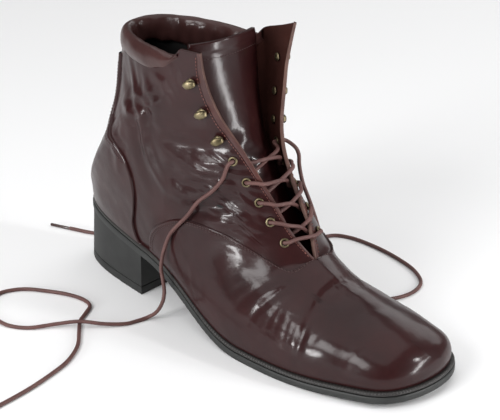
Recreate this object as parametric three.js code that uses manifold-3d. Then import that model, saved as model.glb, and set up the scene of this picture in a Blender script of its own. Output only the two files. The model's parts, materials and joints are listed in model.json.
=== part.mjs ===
// Lace-up ankle boot, a right boot that stands empty on its heel and forefoot.
// Millimetres. +X runs from heel to toe, +Y to the wearer's inner side, +Z up.
// The origin is the centre of the heel's tread face, on the floor.
import * as THREE from "three";
import ManifoldModule from "manifold-3d";

const solids = await ManifoldModule();
solids.setup();
const { Manifold, CrossSection } = solids;

// Driving sizes of the sole
const LENGTH = 277; // outsole, from the back of the seat to the toe
const BALL_WIDTH = 90; // outsole across the ball
const SEAT_HEIGHT = 28; // underside of the sole over the floor at the heel's breast
const SEAT_RISE = 10; // what the seat rises further, from the breast to the back
const TOE_SPRING = 4.5;
const TOE_SWING = 6; // how far the toe lies inward of the heel's axis
const HEEL_LENGTH = 68; // seat, from its back to the breast
const HEEL_INSET = 0.6; // how far the heel lies in from the edge of the outsole
const HEEL_FLARE = 2.3; // how far its foot stands out again at the back
const OUTSOLE_THICKNESS = 4.2;
const WELT_THICKNESS = 2.6;
const WELT_WIDTH = 11;
const LIFT_THICKNESS = 5.5;
const INSOLE_THICKNESS = 3;
const FLAT_START = 0.6; // the tread's flat spot, as shares of the length
const FLAT_END = 0.7;

// Driving sizes of the upper
const INSTEP_HEIGHT = 57; // the throat over the floor
const SHAFT_HEIGHT = 178; // the outer ear of the facings over the floor
const DIP_HEIGHT = 159; // the dipped top line at the back over the floor
const WALL = 2.2; // leather and lining together
const LAYER = 1.0; // how far the vamp stands above the quarters
const OVERLAY = 1.4; // thickness of the counter
const PAD_THICKNESS = 9;
const TONGUE_THICKNESS = 1.8;

// Hardware and lace
const EYELET_BORE = 3.2;
const EYELET_FLANGE = 5.8;
const LACE = 2.4;
const AGLET_LENGTH = 15;
const AGLET = 2.0;
const GAP = 0.3; // between pieces that meet
const SIDES = { outer: -1, inner: 1 };
const SIDE_NAMES = { outer: "near", inner: "far" };

// A smooth curve through a table's rows: the natural cubic spline
function spline(xs, ys) {
  const n = xs.length;
  const ratio = [0];
  const part = [0];
  for (let i = 1; i < n - 1; i++) {
    const before = xs[i] - xs[i - 1];
    const after = xs[i + 1] - xs[i];
    const bend = 6 * ((ys[i + 1] - ys[i]) / after - (ys[i] - ys[i - 1]) / before);
    const scale = 2 * (before + after) - before * ratio[i - 1];
    ratio[i] = after / scale;
    part[i] = (bend - before * part[i - 1]) / scale;
  }
  const bends = new Array(n).fill(0);
  for (let i = n - 2; i > 0; i--) bends[i] = part[i] - ratio[i] * bends[i + 1];
  return (x) => {
    let k = 1;
    while (k < n - 1 && x > xs[k]) k++;
    const h = xs[k] - xs[k - 1];
    const a = (xs[k] - x) / h;
    const b = 1 - a;
    const curve = (a ** 3 - a) * bends[k - 1] + (b ** 3 - b) * bends[k];
    return a * ys[k - 1] + b * ys[k] + curve * h * h / 6;
  };
}

function columns(names, rows) {
  const first = rows.map((row) => row[0]);
  const curves = {};
  names.slice(1).forEach((name, k) => {
    curves[name] = spline(first, rows.map((row) => row[k + 1]));
  });
  return curves;
}

const vec = (x, y, z) => new THREE.Vector3(x, y, z);

// Sole outline: half widths about the shoe's centre line, as shares of the ball width
const OUTLINE = [
  // along, outer, inner
  [0.04, 0.160, 0.160],
  [0.12, 0.248, 0.248],
  [0.24, 0.310, 0.302],
  [0.38, 0.380, 0.283],
  [0.52, 0.474, 0.350],
  [0.64, 0.513, 0.439],
  [0.78, 0.504, 0.482],
  [0.88, 0.444, 0.428],
  [0.95, 0.372, 0.356],
];

// Each outline is a curve over the turn round the shoe: 0 at the toe, 1 at the heel's back.
const turnAt = (along) => Math.acos(2 * along - 1) / Math.PI;
const alongAt = (turn) => (1 + Math.cos(Math.PI * turn)) / 2;

function outlineCurve(column) {
  const rows = [...OUTLINE].reverse();
  const turns = [0, ...rows.map((row) => turnAt(row[0])), 1];
  const halves = [0, ...rows.map((row) => row[column] * BALL_WIDTH), 0];
  return spline(turns, halves);
}

const halfWidth = { outer: outlineCurve(1), inner: outlineCurve(2) };

function centreLine(x) {
  const ahead = Math.max(0, (x / LENGTH - 0.55) / 0.45);
  return TOE_SWING * ahead ** 1.6;
}

function outlinePoint(side, turn) {
  const x = LENGTH * alongAt(turn);
  return vec(x, centreLine(x) + SIDES[side] * halfWidth[side](turn), 0);
}

// Direction along the outline towards the toe, and outward from it
function outlineFrame(side, turn) {
  const step = 0.004;
  const back = outlinePoint(side, Math.min(1, turn + step));
  const front = outlinePoint(side, Math.max(0, turn - step));
  const forward = front.sub(back);
  if (turn === 0) forward.x = 0;
  if (turn === 1) forward.x = 0;
  forward.normalize();
  const outward = vec(-forward.y, forward.x, 0).multiplyScalar(SIDES[side]);
  return { forward, outward };
}

function insetPoint(side, turn, inset) {
  const { outward } = outlineFrame(side, turn);
  return outlinePoint(side, turn).addScaledVector(outward, -inset);
}

// Underside of the sole over the floor
function treadHeight(x) {
  const start = FLAT_START * LENGTH;
  const end = FLAT_END * LENGTH;
  if (x < HEEL_LENGTH) return SEAT_HEIGHT + SEAT_RISE * (1 - x / HEEL_LENGTH);
  if (x < start) {
    const run = start - HEEL_LENGTH;
    const t = (start - x) / run;
    const lean = 0.06 * run * (t * t - t * t * t);
    return SEAT_HEIGHT * t * t * (3 - 2 * t) - lean;
  }
  if (x <= end) return 0;
  return TOE_SPRING * ((x - end) / (LENGTH - end)) ** 1.8;
}

const soleTop = (x) => treadHeight(x) + OUTSOLE_THICKNESS + GAP + WELT_THICKNESS;

// Turns a list of points and a list of faces into a closed solid.
function solidFrom(points, faces) {
  let volume = 0;
  for (const [a, b, c] of faces) {
    volume += points[a].dot(points[b].clone().cross(points[c]));
  }
  const turned = volume < 0 ? faces.map(([a, b, c]) => [a, c, b]) : faces;
  const mesh = new solids.Mesh({
    numProp: 3,
    vertProperties: new Float32Array(points.flatMap((p) => [p.x, p.y, p.z])),
    triVerts: new Uint32Array(turned.flat()),
  });
  mesh.merge();
  return new Manifold(mesh);
}

// A closed solid through a row of rings that have the same number of points
function loft(rings) {
  const size = rings[0].length;
  const points = rings.flat();
  const faces = [];
  for (let i = 0; i + 1 < rings.length; i++) {
    for (let k = 0; k < size; k++) {
      const a = i * size + k;
      const b = i * size + (k + 1) % size;
      faces.push([a, b, b + size], [a, b + size, a + size]);
    }
  }
  const last = (rings.length - 1) * size;
  for (let k = 1; k + 1 < size; k++) {
    faces.push([0, k + 1, k], [last, last + k, last + k + 1]);
  }
  return solidFrom(points, faces);
}

// A round cord through a row of points
function tube(path, width, parts, sides) {
  const curve = new THREE.CatmullRomCurve3(path, false, "centripetal");
  const rings = [];
  let across = vec(0, 0, 1);
  for (let i = 0; i <= parts; i++) {
    const centre = curve.getPointAt(i / parts);
    const along = curve.getTangentAt(i / parts);
    across = across.clone().addScaledVector(along, -across.dot(along)).normalize();
    const beside = along.clone().cross(across);
    const ring = [];
    for (let k = 0; k < sides; k++) {
      const angle = 2 * Math.PI * k / sides;
      const out = across.clone().multiplyScalar(Math.cos(angle)).addScaledVector(beside, Math.sin(angle));
      ring.push(centre.clone().addScaledVector(out, width / 2));
    }
    rings.push(ring);
  }
  return loft(rings);
}

// A plate over the sole's plan, between two heights
function plate(inset, low, high, parts) {
  const rings = [];
  for (let i = 0; i <= parts; i++) {
    const turn = i / parts;
    const left = insetPoint("inner", turn, inset);
    const right = insetPoint("outer", turn, inset);
    rings.push([
      vec(left.x, left.y, low(left.x)),
      vec(right.x, right.y, low(right.x)),
      vec(right.x, right.y, high(right.x)),
      vec(left.x, left.y, high(left.x)),
    ]);
  }
  return loft(rings);
}

const SOLE_PARTS = 36;
const above = (height) => (x) => treadHeight(x) + height;

function outsole() {
  return plate(0, treadHeight, above(OUTSOLE_THICKNESS), SOLE_PARTS);
}

function welt() {
  const low = OUTSOLE_THICKNESS + GAP;
  const strip = plate(0.4, above(low), above(low + WELT_THICKNESS), SOLE_PARTS);
  const hole = plate(WELT_WIDTH, above(low - 1), above(low + WELT_THICKNESS + 1), SOLE_PARTS);
  return strip.subtract(hole);
}

function insole() {
  const low = soleTop(0) - treadHeight(0) + GAP;
  return plate(reachAt(0) + WALL + 1.2, above(low), above(low + INSOLE_THICKNESS), SOLE_PARTS);
}

// Heel: from the seat down to the tread, wider at its foot than at the seat
function heelSlice(low, high) {
  const rings = [];
  const parts = 18;
  const first = turnAt(HEEL_LENGTH / LENGTH);
  for (const z of [low, high]) {
    const ring = [];
    for (let i = -parts; i <= parts; i++) {
      const turn = 1 + (first - 1) * Math.abs(i) / parts;
      const side = i < 0 ? "outer" : "inner";
      const { outward } = outlineFrame(side, turn);
      const foot = outlinePoint(side, turn);
      const top = treadHeight(foot.x) - GAP;
      const height = Math.min(z, top);
      const flare = HEEL_FLARE * Math.max(0, -outward.x) * (1 - height / top);
      foot.addScaledVector(outward, flare - HEEL_INSET);
      ring.push(vec(Math.min(foot.x, HEEL_LENGTH), foot.y, height));
    }
    rings.push(ring);
  }
  return loft(rings);
}

const topLift = () => heelSlice(0, LIFT_THICKNESS);
const heelBlock = () => heelSlice(LIFT_THICKNESS + GAP, SEAT_HEIGHT + SEAT_RISE);

// Upper. Its outer surface is a fan of ribs: each rib rises from the feather line, or from
// the back seam above it, to the ridge of the vamp, or to the edge of a facing.

// How far the feather line lies in from the edge of the sole
const reachAt = spline([0, 0.35, 0.6, 1], [3.8, 3.6, 2.6, 2.4]);

// Ridge of the toe box and vamp: shares of the length and of the instep height
const RIDGE = columns(["share", "along", "height"], [
  [0.0, 0.935, 0.545],
  [0.2, 0.892, 0.625],
  [0.4, 0.838, 0.703],
  [0.6, 0.783, 0.795],
  [0.8, 0.730, 0.896],
  [1.0, 0.683, 1.0],
]);

// Edges of the two facings from the throat up: share of the length, of the ball width, and
// of the height from the throat to the ear
const FACINGS = {
  outer: columns(["share", "along", "half", "height"], [
    [1.0, 0.683, 0.0, 0.0],
    [1.12, 0.635, 0.058, 0.116],
    [1.25, 0.603, 0.095, 0.24],
    [1.37, 0.574, 0.134, 0.355],
    [1.48, 0.546, 0.172, 0.463],
    [1.56, 0.524, 0.2, 0.537],
    [1.66, 0.495, 0.245, 0.636],
    [1.79, 0.472, 0.3, 0.769],
    [1.92, 0.458, 0.335, 0.909],
    [2.0, 0.455, 0.345, 1.0],
  ]),
  inner: columns(["share", "along", "half", "height"], [
    [1.0, 0.683, 0.0, 0.0],
    [1.12, 0.65, 0.067, 0.116],
    [1.25, 0.605, 0.111, 0.248],
    [1.37, 0.567, 0.144, 0.364],
    [1.48, 0.543, 0.172, 0.463],
    [1.56, 0.532, 0.189, 0.541],
    [1.66, 0.523, 0.222, 0.64],
    [1.79, 0.52, 0.256, 0.785],
    [1.92, 0.522, 0.29, 0.955],
    [2.0, 0.527, 0.322, 1.074],
  ]),
};

// Back seam, from the feather line up: how far it leans forward, as a share of the length,
// and its share of the height to the collar
const BACK = columns(["share", "lean", "height"], [
  [1.0, 0.0, 0.0],
  [1.06, 0.0105, 0.055],
  [1.16, 0.0295, 0.157],
  [1.26, 0.052, 0.26],
  [1.37, 0.069, 0.37],
  [1.48, 0.0865, 0.48],
  [1.58, 0.099, 0.575],
  [1.7, 0.111, 0.7],
  [1.85, 0.122, 0.843],
  [2.0, 0.144, 1.0],
]);
const COLLAR_BACK = 172;

// One row per rib. Foot counts the turn round the feather line, then the back seam; top
// counts the ridge, then the facing. The handles are shares of the rib's chord: rise, sweep
// and bulge at the foot (up, forward along the edge, outward), ahead, aside and drop at the top.
const RIBS = columns(["row", "foot", "top", "rise", "sweep", "bulge", "ahead", "aside", "drop"], [
  [0, 0.0, 0.0, 0.45, 0.0, 0.1, 0.36, 0.0, 0.0],
  [1, 0.13, 0.08, 0.43, 0.0, 0.09, 0.26, 0.2, 0.0],
  [2, 0.24, 0.26, 0.42, 0.0, 0.07, 0.12, 0.4, 0.0],
  [3, 0.34, 0.56, 0.4, 0.05, 0.06, 0.0, 0.42, 0.02],
  [4, 0.43, 0.92, 0.37, 0.12, 0.05, -0.08, 0.38, 0.03],
  [5, 0.5, 1.0, 0.34, 0.16, 0.05, -0.12, 0.34, 0.03],
  [6, 0.57, 1.07, 0.31, 0.16, 0.055, -0.15, 0.3, 0.04],
  [7, 0.65, 1.34, 0.28, 0.15, 0.06, -0.19, 0.24, 0.08],
  [8, 0.75, 1.54, 0.24, 0.15, 0.05, -0.25, 0.19, 0.1],
  [9, 0.87, 1.67, 0.18, 0.145, 0.03, -0.3, 0.15, 0.08],
  [10, 0.965, 1.74, 0.14, 0.14, 0.01, -0.32, 0.13, 0.06],
  [11, 1.0, 1.79, 0.1, 0.135, 0.0, -0.33, 0.12, 0.05],
  [12, 1.035, 1.83, 0.08, 0.135, 0.0, -0.33, 0.11, 0.04],
  [13, 1.16, 1.875, 0.05, 0.145, 0.0, -0.33, 0.1, 0.03],
  [14, 1.4, 1.92, 0.03, 0.175, 0.0, -0.34, 0.09, 0.02],
  [15, 1.7, 1.96, 0.02, 0.22, 0.0, -0.36, 0.085, 0.0],
  [16, 2.0, 2.0, 0.0, 0.29, 0.0, -0.36, 0.08, 0.0],
]);
const ROWS = 16;

// The inner side of the instep is fuller than the outer side.
const INNER_FULLNESS = spline([0, 1, 2, 3, 4, 5, 6, 7, 9, 16], [0.9, 0.8, 0.69, 0.7, 1.15, 1.9, 1.6, 0.88, 1, 1]);

const slopeOf = (curve, at) => (curve(at + 0.01) - curve(at - 0.01)) / 0.02;

function footOf(side, share) {
  if (share <= 1) {
    const point = insetPoint(side, share, reachAt(share));
    point.z = soleTop(point.x) + GAP;
    const { forward, outward } = outlineFrame(side, share);
    return { point, up: vec(0, 0, 1), forward, outward };
  }
  const base = soleTop(0) + GAP;
  const z = base + BACK.height(share) * (COLLAR_BACK - base);
  const x = reachAt(1) + LENGTH * BACK.lean(share);
  const tilt = Math.min(1, (share - 1) / 0.3); // grows from nothing at the feather line
  const up = vec(tilt * LENGTH * slopeOf(BACK.lean, share), 0, (COLLAR_BACK - base) * slopeOf(BACK.height, share));
  up.normalize();
  const outward = vec(-up.z, 0, up.x);
  return { point: vec(x, 0, z), up, forward: vec(0, SIDES[side], 0), outward };
}

// The ridge's slope, which fades out along the facing above the throat
function topSlope(share) {
  const at = Math.min(1, share);
  const slope = INSTEP_HEIGHT * slopeOf(RIDGE.height, at) / (LENGTH * slopeOf(RIDGE.along, at));
  const fade = Math.min(1, Math.max(0, (share - 1) / 0.5));
  return slope * (1 + Math.cos(Math.PI * fade)) / 2;
}

function topOf(side, share) {
  const ahead = vec(1, 0, topSlope(share)).normalize();
  const down = vec(ahead.z, 0, -ahead.x);
  if (share <= 1) {
    const point = vec(LENGTH * RIDGE.along(share), 0, INSTEP_HEIGHT * RIDGE.height(share));
    return { point, ahead, down };
  }
  const edge = FACINGS[side];
  const z = INSTEP_HEIGHT + (SHAFT_HEIGHT - INSTEP_HEIGHT) * edge.height(share);
  const point = vec(LENGTH * edge.along(share), SIDES[side] * BALL_WIDTH * edge.half(share), z);
  return { point, ahead, down };
}

function ribOf(side, row) {
  const foot = footOf(side, Math.min(2, Math.max(0, RIBS.foot(row))));
  const top = topOf(side, Math.min(2, Math.max(0, RIBS.top(row))));
  const chord = foot.point.distanceTo(top.point);
  const aside = RIBS.aside(row) * (side === "inner" ? INNER_FULLNESS(row) : 1);
  const lower = foot.point.clone()
    .addScaledVector(foot.up, RIBS.rise(row) * chord)
    .addScaledVector(foot.forward, RIBS.sweep(row) * chord)
    .addScaledVector(foot.outward, RIBS.bulge(row) * chord);
  const upper = top.point.clone()
    .addScaledVector(top.ahead, RIBS.ahead(row) * chord)
    .add(vec(0, SIDES[side] * aside * chord, 0))
    .addScaledVector(top.down, RIBS.drop(row) * chord);
  return new THREE.CubicBezierCurve3(foot.point, lower, upper, top.point);
}

// The grid of points over both sides, with one point where the sides meet
const GRID = { along: 40, across: 10 };

function upperGrid() {
  const points = [];
  const known = new Map();
  const keep = (p) => {
    const key = [p.x, p.y, p.z].map((v) => Math.round(v * 1000)).join(",");
    if (!known.has(key)) {
      known.set(key, points.length);
      points.push(p);
    }
    return known.get(key);
  };
  const faces = [];
  for (const side of ["outer", "inner"]) {
    const rows = [];
    for (let i = 0; i <= GRID.along; i++) {
      const rib = ribOf(side, ROWS * i / GRID.along);
      const row = [];
      for (let j = 0; j <= GRID.across; j++) row.push(keep(rib.getPoint(j / GRID.across)));
      rows.push(row);
    }
    for (let i = 0; i < GRID.along; i++) {
      for (let j = 0; j < GRID.across; j++) {
        const quad = [rows[i][j], rows[i + 1][j], rows[i + 1][j + 1], rows[i][j + 1]];
        if (side === "outer") quad.reverse();
        faces.push([quad[0], quad[1], quad[2]], [quad[0], quad[2], quad[3]]);
      }
    }
  }
  const whole = faces.filter(([a, b, c]) => a !== b && b !== c && c !== a);
  return { points, faces: whole, normals: normalsOf(points, whole) };
}

function normalsOf(points, faces) {
  const normals = points.map(() => vec(0, 0, 0));
  for (const [a, b, c] of faces) {
    const normal = points[b].clone().sub(points[a]).cross(points[c].clone().sub(points[a]));
    for (const k of [a, b, c]) normals[k].add(normal);
  }
  return normals.map((normal) => normal.normalize());
}

const grid = upperGrid();

// A shell between two offsets from the upper's outer surface
function shell(outer, inner) {
  const count = grid.points.length;
  const layer = (offset) => grid.points.map((p, k) => {
    const moved = p.clone().addScaledVector(grid.normals[k], offset);
    const floor = soleTop(p.x) + GAP;
    const onFeather = Math.abs(p.z - floor) < 0.01;
    if (onFeather || moved.z < floor) moved.z = floor;
    return moved;
  });
  const points = [...layer(outer), ...layer(inner)];
  const faces = [];
  const edges = new Map();
  for (const [a, b, c] of grid.faces) {
    faces.push([a, b, c], [a + count, c + count, b + count]);
    for (const [from, to] of [[a, b], [b, c], [c, a]]) {
      if (edges.has(`${to},${from}`)) edges.delete(`${to},${from}`);
      else edges.set(`${from},${to}`, [from, to]);
    }
  }
  for (const [from, to] of edges.values()) {
    faces.push([to, from, from + count], [to, from + count, to + count]);
  }
  return solidFrom(points, faces);
}

// A prism through the whole width, or one half of it, from an outline in side view
function sideCut(outline, from = -120, to = 120) {
  const section = new CrossSection([outline], "EvenOdd");
  return section.extrude(to - from).rotate([90, 0, 0]).translate([0, to, 0]);
}

function smoothLine(rows, parts) {
  const curve = new THREE.CatmullRomCurve3(rows.map(([x, z]) => vec(x, 0, z)), false, "centripetal");
  return curve.getPoints(parts).map((p) => [p.x, p.z]);
}

// Side-view lines hold x as shares of the length, and heights as shares of a height.
function sideLine(rows) {
  return rows.map(([along, height]) => [along * LENGTH, height * SHAFT_HEIGHT]);
}

function dipLine(rows) {
  return rows.map(([along, height]) => [along * LENGTH, height * DIP_HEIGHT]);
}

// The vamp's edge in side view, from the throat back to its rounded tab and down
const VAMP_EDGE = sideLine([
  [0.6968, 0.3596], [0.6643, 0.3062], [0.6390, 0.3090], [0.6065, 0.3315], [0.5632, 0.3596], [0.5162, 0.3848],
  [0.4513, 0.3989], [0.3899, 0.3876], [0.3394, 0.3483], [0.2996, 0.2978], [0.2816, 0.2528], [0.2744, 0.2022],
  [0.2744, 0.1685],
]);

// The counter's front edge in side view, from the back strip down to the sole
const COUNTER_EDGE = dipLine([
  [0.1661, 0.9981], [0.1625, 0.9119], [0.1552, 0.8050], [0.1480, 0.7296], [0.1661, 0.6730],
  [0.1986, 0.6352], [0.2274, 0.5786], [0.2419, 0.5157], [0.2455, 0.4528], [0.2383, 0.3774],
  [0.2274, 0.3145], [0.2310, 0.2642], [0.2455, 0.2138],
]);

// The dip of the top line on each side, in side view, from the back to the ear
const DIP = {
  outer: dipLine([
    [0.1805, 1.0000], [0.2383, 1.0063], [0.3032, 1.0094], [0.3357, 1.0189], [0.3610, 1.0440],
    [0.3827, 1.0881], [0.4007, 1.1384], [0.4043, 1.2579],
  ]),
  inner: dipLine([
    [0.1805, 1.0000], [0.2383, 0.9937], [0.3177, 1.0000], [0.3755, 1.0252], [0.4079, 1.0692],
    [0.4332, 1.1101], [0.4621, 1.1289], [0.4946, 1.1478], [0.5271, 1.1698], [0.5632, 1.1950],
  ]),
};

function dipSolid(lift) {
  const halves = ["outer", "inner"].map((side) => {
    const line = [[-20, DIP_HEIGHT], ...smoothLine(DIP[side], 24)].map(([x, z]) => [x, z + lift]);
    const outline = [...line, [-20, line.at(-1)[1]]];
    return side === "outer" ? sideCut(outline, -120, 0) : sideCut(outline, 0, 120);
  });
  return halves[0].add(halves[1]);
}

function upper() {
  const edge = smoothLine(VAMP_EDGE, 60);
  const vampCut = sideCut([[1.2 * LENGTH, -5], [1.2 * LENGTH, edge[0][1]], ...edge, [edge.at(-1)[0], -5]]);
  const quarters = shell(0, -WALL);
  const vamp = shell(LAYER, -WALL / 2).intersect(vampCut);
  const whole = quarters.add(vamp).subtract(dipSolid(0)).subtract(hardwareHoles()).subtract(throatSlit());
  return largest(whole);
}

// Drops the slivers that a cut leaves loose.
function largest(solid) {
  return solid.decompose().reduce((a, b) => (a.volume() > b.volume() ? a : b));
}

// The facings stay a slit apart down to the throat.
function throatSlit() {
  const end = LENGTH * RIDGE.along(1) + 1.2;
  return Manifold.cube([12, 1, 24], true).translate([end - 6, 0, INSTEP_HEIGHT]);
}

function counter() {
  const edge = smoothLine(COUNTER_EDGE, 50);
  const outline = [...edge, [-20, edge.at(-1)[1]], [-20, edge[0][1]]];
  return shell(GAP + OVERLAY, GAP + 0.08).intersect(sideCut(outline));
}

// Points and directions on the upper's outer surface: row counts the ribs, share runs up a rib
function surfaceAt(side, row, share) {
  const rib = ribOf(side, row);
  const point = rib.getPoint(share);
  const upward = rib.getTangent(share);
  const step = 0.05;
  const onward = ribOf(side, Math.min(ROWS, row + step)).getPoint(share)
    .sub(ribOf(side, Math.max(0, row - step)).getPoint(share)).normalize();
  const normal = onward.clone().cross(upward).multiplyScalar(SIDES[side]).normalize();
  return { point, upward, normal };
}

// The rib whose top lies at a given place along the facing
function rowOfTop(share) {
  let low = 5;
  let high = ROWS;
  for (let i = 0; i < 30; i++) {
    const middle = (low + high) / 2;
    if (RIBS.top(middle) < share) low = middle;
    else high = middle;
  }
  return low;
}

// A spot on a facing, a distance in from its edge
function facingSpot(side, share, inset) {
  const row = rowOfTop(share);
  const rib = ribOf(side, row);
  return surfaceAt(side, row, 1 - inset / rib.getLength());
}

// Moves a solid built upright at the origin to a spot: its z axis turns to the spot's normal
// and its x axis towards the edge.
function setOn(solid, spot) {
  const z = spot.normal;
  const x = spot.upward.clone().addScaledVector(z, -spot.upward.dot(z)).normalize();
  const y = z.clone().cross(x);
  const p = spot.point;
  return solid.transform([x.x, x.y, x.z, 0, y.x, y.y, y.z, 0, z.x, z.y, z.z, 0, p.x, p.y, p.z, 1]);
}

function turned(profile, sides) {
  return new CrossSection([profile], "EvenOdd").revolve(sides);
}

// Eyelets and hooks along the facings
const EYELET_SHARES = [1.09, 1.195, 1.3, 1.405, 1.51];
const HOOK_SHARES = [1.61, 1.735, 1.87];
const HARDWARE_INSET = 9.5;
const EYELET_TUBE = 0.45;
const FLANGE_THICKNESS = 0.7;

function eyelet() {
  const bore = EYELET_BORE / 2;
  const tubeOut = bore + EYELET_TUBE;
  const flange = EYELET_FLANGE / 2;
  const low = -WALL - 0.4;
  const top = GAP + FLANGE_THICKNESS;
  return turned([
    [bore, low], [tubeOut, low], [tubeOut, GAP], [flange, GAP], [flange - 0.4, top], [bore + 0.2, top],
  ], 10);
}

const HOOK_WIDTH = 5;
const STEM = 2.4;

function hook() {
  const base = GAP + 0.35;
  const rise = 4.2;
  const sheet = 0.9;
  const profile = [
    [-3.2, base], [3, base], [3.8, base + 1.2], [3.9, base + 2.4], [3, base + rise - 0.5], [1.4, base + rise],
    [-1.6, base + rise], [-3.0, base + rise - 0.9], [-2.6, base + rise - 1.7], [-1.4, base + rise - sheet],
    [1.2, base + rise - sheet], [2.4, base + rise - 1.5], [2.9, base + 2.3], [2.6, base + sheet], [-3.2, base + sheet],
  ];
  const curl = new CrossSection([profile], "EvenOdd").extrude(HOOK_WIDTH).rotate([90, 0, 0]);
  const under = -WALL - GAP - 0.45;
  const stem = turned([[0, base + 0.2], [STEM / 2, base + 0.2], [STEM / 2, under], [0, under]], 8);
  const rivet = turned([[0, under + 0.01], [2.6, under], [2.3, under - 0.8], [0, under - 1.1]], 8);
  return curl.translate([0, HOOK_WIDTH / 2, 0]).add(stem).add(rivet);
}

const hardwareSpots = (shares) => ["outer", "inner"].flatMap((side) => (
  shares.map((share, k) => ({ side, index: k + 1, spot: facingSpot(side, share, HARDWARE_INSET) }))
));

function hardwareHoles() {
  const drill = (radius) => Manifold.cylinder(20, radius, radius, 16, true);
  const eyelets = hardwareSpots(EYELET_SHARES).map(({ spot }) => (
    setOn(drill(EYELET_BORE / 2 + EYELET_TUBE + GAP), spot)
  ));
  const hooks = hardwareSpots(HOOK_SHARES).map(({ spot }) => setOn(drill(STEM / 2 + GAP), spot));
  return Manifold.union([...eyelets, ...hooks]);
}

// Collar pad: a roll on the dipped top line, from one ear round the back to the other
const PAD_RISE = 12;
const PAD_SHARES = { outer: 0.86, inner: 0.83 };

function rowAtHeight(side, share, z) {
  let low = 9;
  let high = ROWS;
  for (let i = 0; i < 30; i++) {
    const middle = (low + high) / 2;
    if (ribOf(side, middle).getPoint(share).z < z) low = middle;
    else high = middle;
  }
  return low;
}

function dipHeight(side, x) {
  const line = [[-20, DIP_HEIGHT], ...smoothLine(DIP[side], 24)];
  let k = 1;
  while (k < line.length - 1 && line[k][0] < x) k++;
  const [x0, z0] = line[k - 1];
  const [x1, z1] = line[k];
  return z0 + (z1 - z0) * Math.max(0, Math.min(1, (x - x0) / (x1 - x0)));
}

function padRing(side, share) {
  const start = surfaceAt(side, rowAtHeight(side, share, DIP_HEIGHT + 4), share);
  const seam = dipHeight(side, start.point.x);
  const foot = surfaceAt(side, rowAtHeight(side, share, seam), share);
  const out = foot.normal.clone().setZ(0).normalize();
  const left = Math.max(0.12, Math.min(1, (PAD_SHARES[side] - share) / 0.14));
  const swell = Math.sqrt(left);
  const top = DIP_HEIGHT + PAD_RISE + Math.sin(Math.PI * Math.min(1, share)) - seam;
  const rise = Math.max(2.5, top * swell);
  const deep = PAD_THICKNESS * (0.4 + 0.6 * swell);
  const at = (o, z) => foot.point.clone().addScaledVector(out, o).add(vec(0, 0, z));
  return [
    at(-0.2, -3), at(0.8, rise * 0.2), at(0.6, rise * 0.5), at(-0.9, rise * 0.82), at(-deep * 0.4, rise),
    at(-deep * 0.66, rise * 0.93), at(-deep * 0.95, rise * 0.6), at(-deep, rise * 0.2), at(-deep * 0.8, -3),
  ];
}

function collarPad() {
  const rings = [];
  const parts = 15;
  for (const side of ["outer", "inner"]) {
    for (let i = 0; i <= parts; i++) {
      const t = side === "outer" ? 1 - i / parts : i / parts;
      if (side === "inner" && i === 0) continue;
      rings.push(padRing(side, PAD_SHARES[side] * t));
    }
  }
  return loft(rings).intersect(dipSolid(GAP));
}

// Tongue: a curved sheet behind the facings. Rows run from under the throat to the free top:
// place of its middle in side view, where its two edges lie across, and how far they fall back
const TONGUE = columns(["row", "along", "height", "outer", "inner", "fall"], [
  [0, 0.6534, 0.2640, -0.144, 0.161, 0.017],
  [1, 0.6173, 0.3371, -0.167, 0.183, 0.028],
  [2, 0.5704, 0.4382, -0.189, 0.189, 0.044],
  [3, 0.5307, 0.5393, -0.211, 0.200, 0.061],
  [4, 0.4982, 0.6461, -0.244, 0.217, 0.078],
  [5, 0.4729, 0.7528, -0.278, 0.228, 0.094],
  [6, 0.4549, 0.8652, -0.300, 0.228, 0.106],
  [7, 0.4440, 0.9775, -0.300, 0.206, 0.111],
  [7.3, 0.4422, 1.0084, -0.289, 0.194, 0.111],
]);

function tongue() {
  const rings = [];
  const parts = 18;
  const across = 6;
  for (let i = 0; i <= parts; i++) {
    const row = 7.3 * i / parts;
    const middle = vec(LENGTH * TONGUE.along(row), 0, SHAFT_HEIGHT * TONGUE.height(row));
    const along = vec(LENGTH * slopeOf(TONGUE.along, row), 0, SHAFT_HEIGHT * slopeOf(TONGUE.height, row)).normalize();
    const back = vec(-along.z, 0, along.x);
    const front = [];
    const rear = [];
    for (let k = 0; k <= across; k++) {
      const t = 2 * k / across - 1;
      const y = BALL_WIDTH * (t < 0 ? -t * TONGUE.outer(row) : t * TONGUE.inner(row));
      const fall = BALL_WIDTH * TONGUE.fall(row) * t * t;
      const p = middle.clone().add(vec(0, y, 0)).addScaledVector(back, fall);
      const lean = vec(0, -2 * t * BALL_WIDTH * TONGUE.fall(row) / 24, 0).add(back).normalize();
      front.push(p);
      rear.push(p.clone().addScaledVector(lean, TONGUE_THICKNESS));
    }
    rings.push([...front, ...rear.reverse()]);
  }
  return loft(rings);
}

// Lace: a bar over the lowest pair of eyelets, then four crossings up the facings
const OVER_EYELET = GAP + FLANGE_THICKNESS + 0.35 + LACE / 2;
const UNDER_EYELET = WALL + 0.4 + 0.35 + LACE / 2;

const lifted = (spot, height) => spot.point.clone().addScaledVector(spot.normal, height);

function strandEnd(side, share, height) {
  return lifted(facingSpot(side, share, HARDWARE_INSET), height);
}

function laceBar() {
  const share = EYELET_SHARES[0];
  const half = (side) => [
    strandEnd(side, share, OVER_EYELET),
    lifted(facingSpot(side, share, 4), LACE / 2 + 0.8),
    lifted(facingSpot(side, share + 0.01, 0.4), LACE / 2 + 0.9),
  ];
  return tube([...half("outer"), ...half("inner").reverse()], LACE, 12, 6);
}

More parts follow.
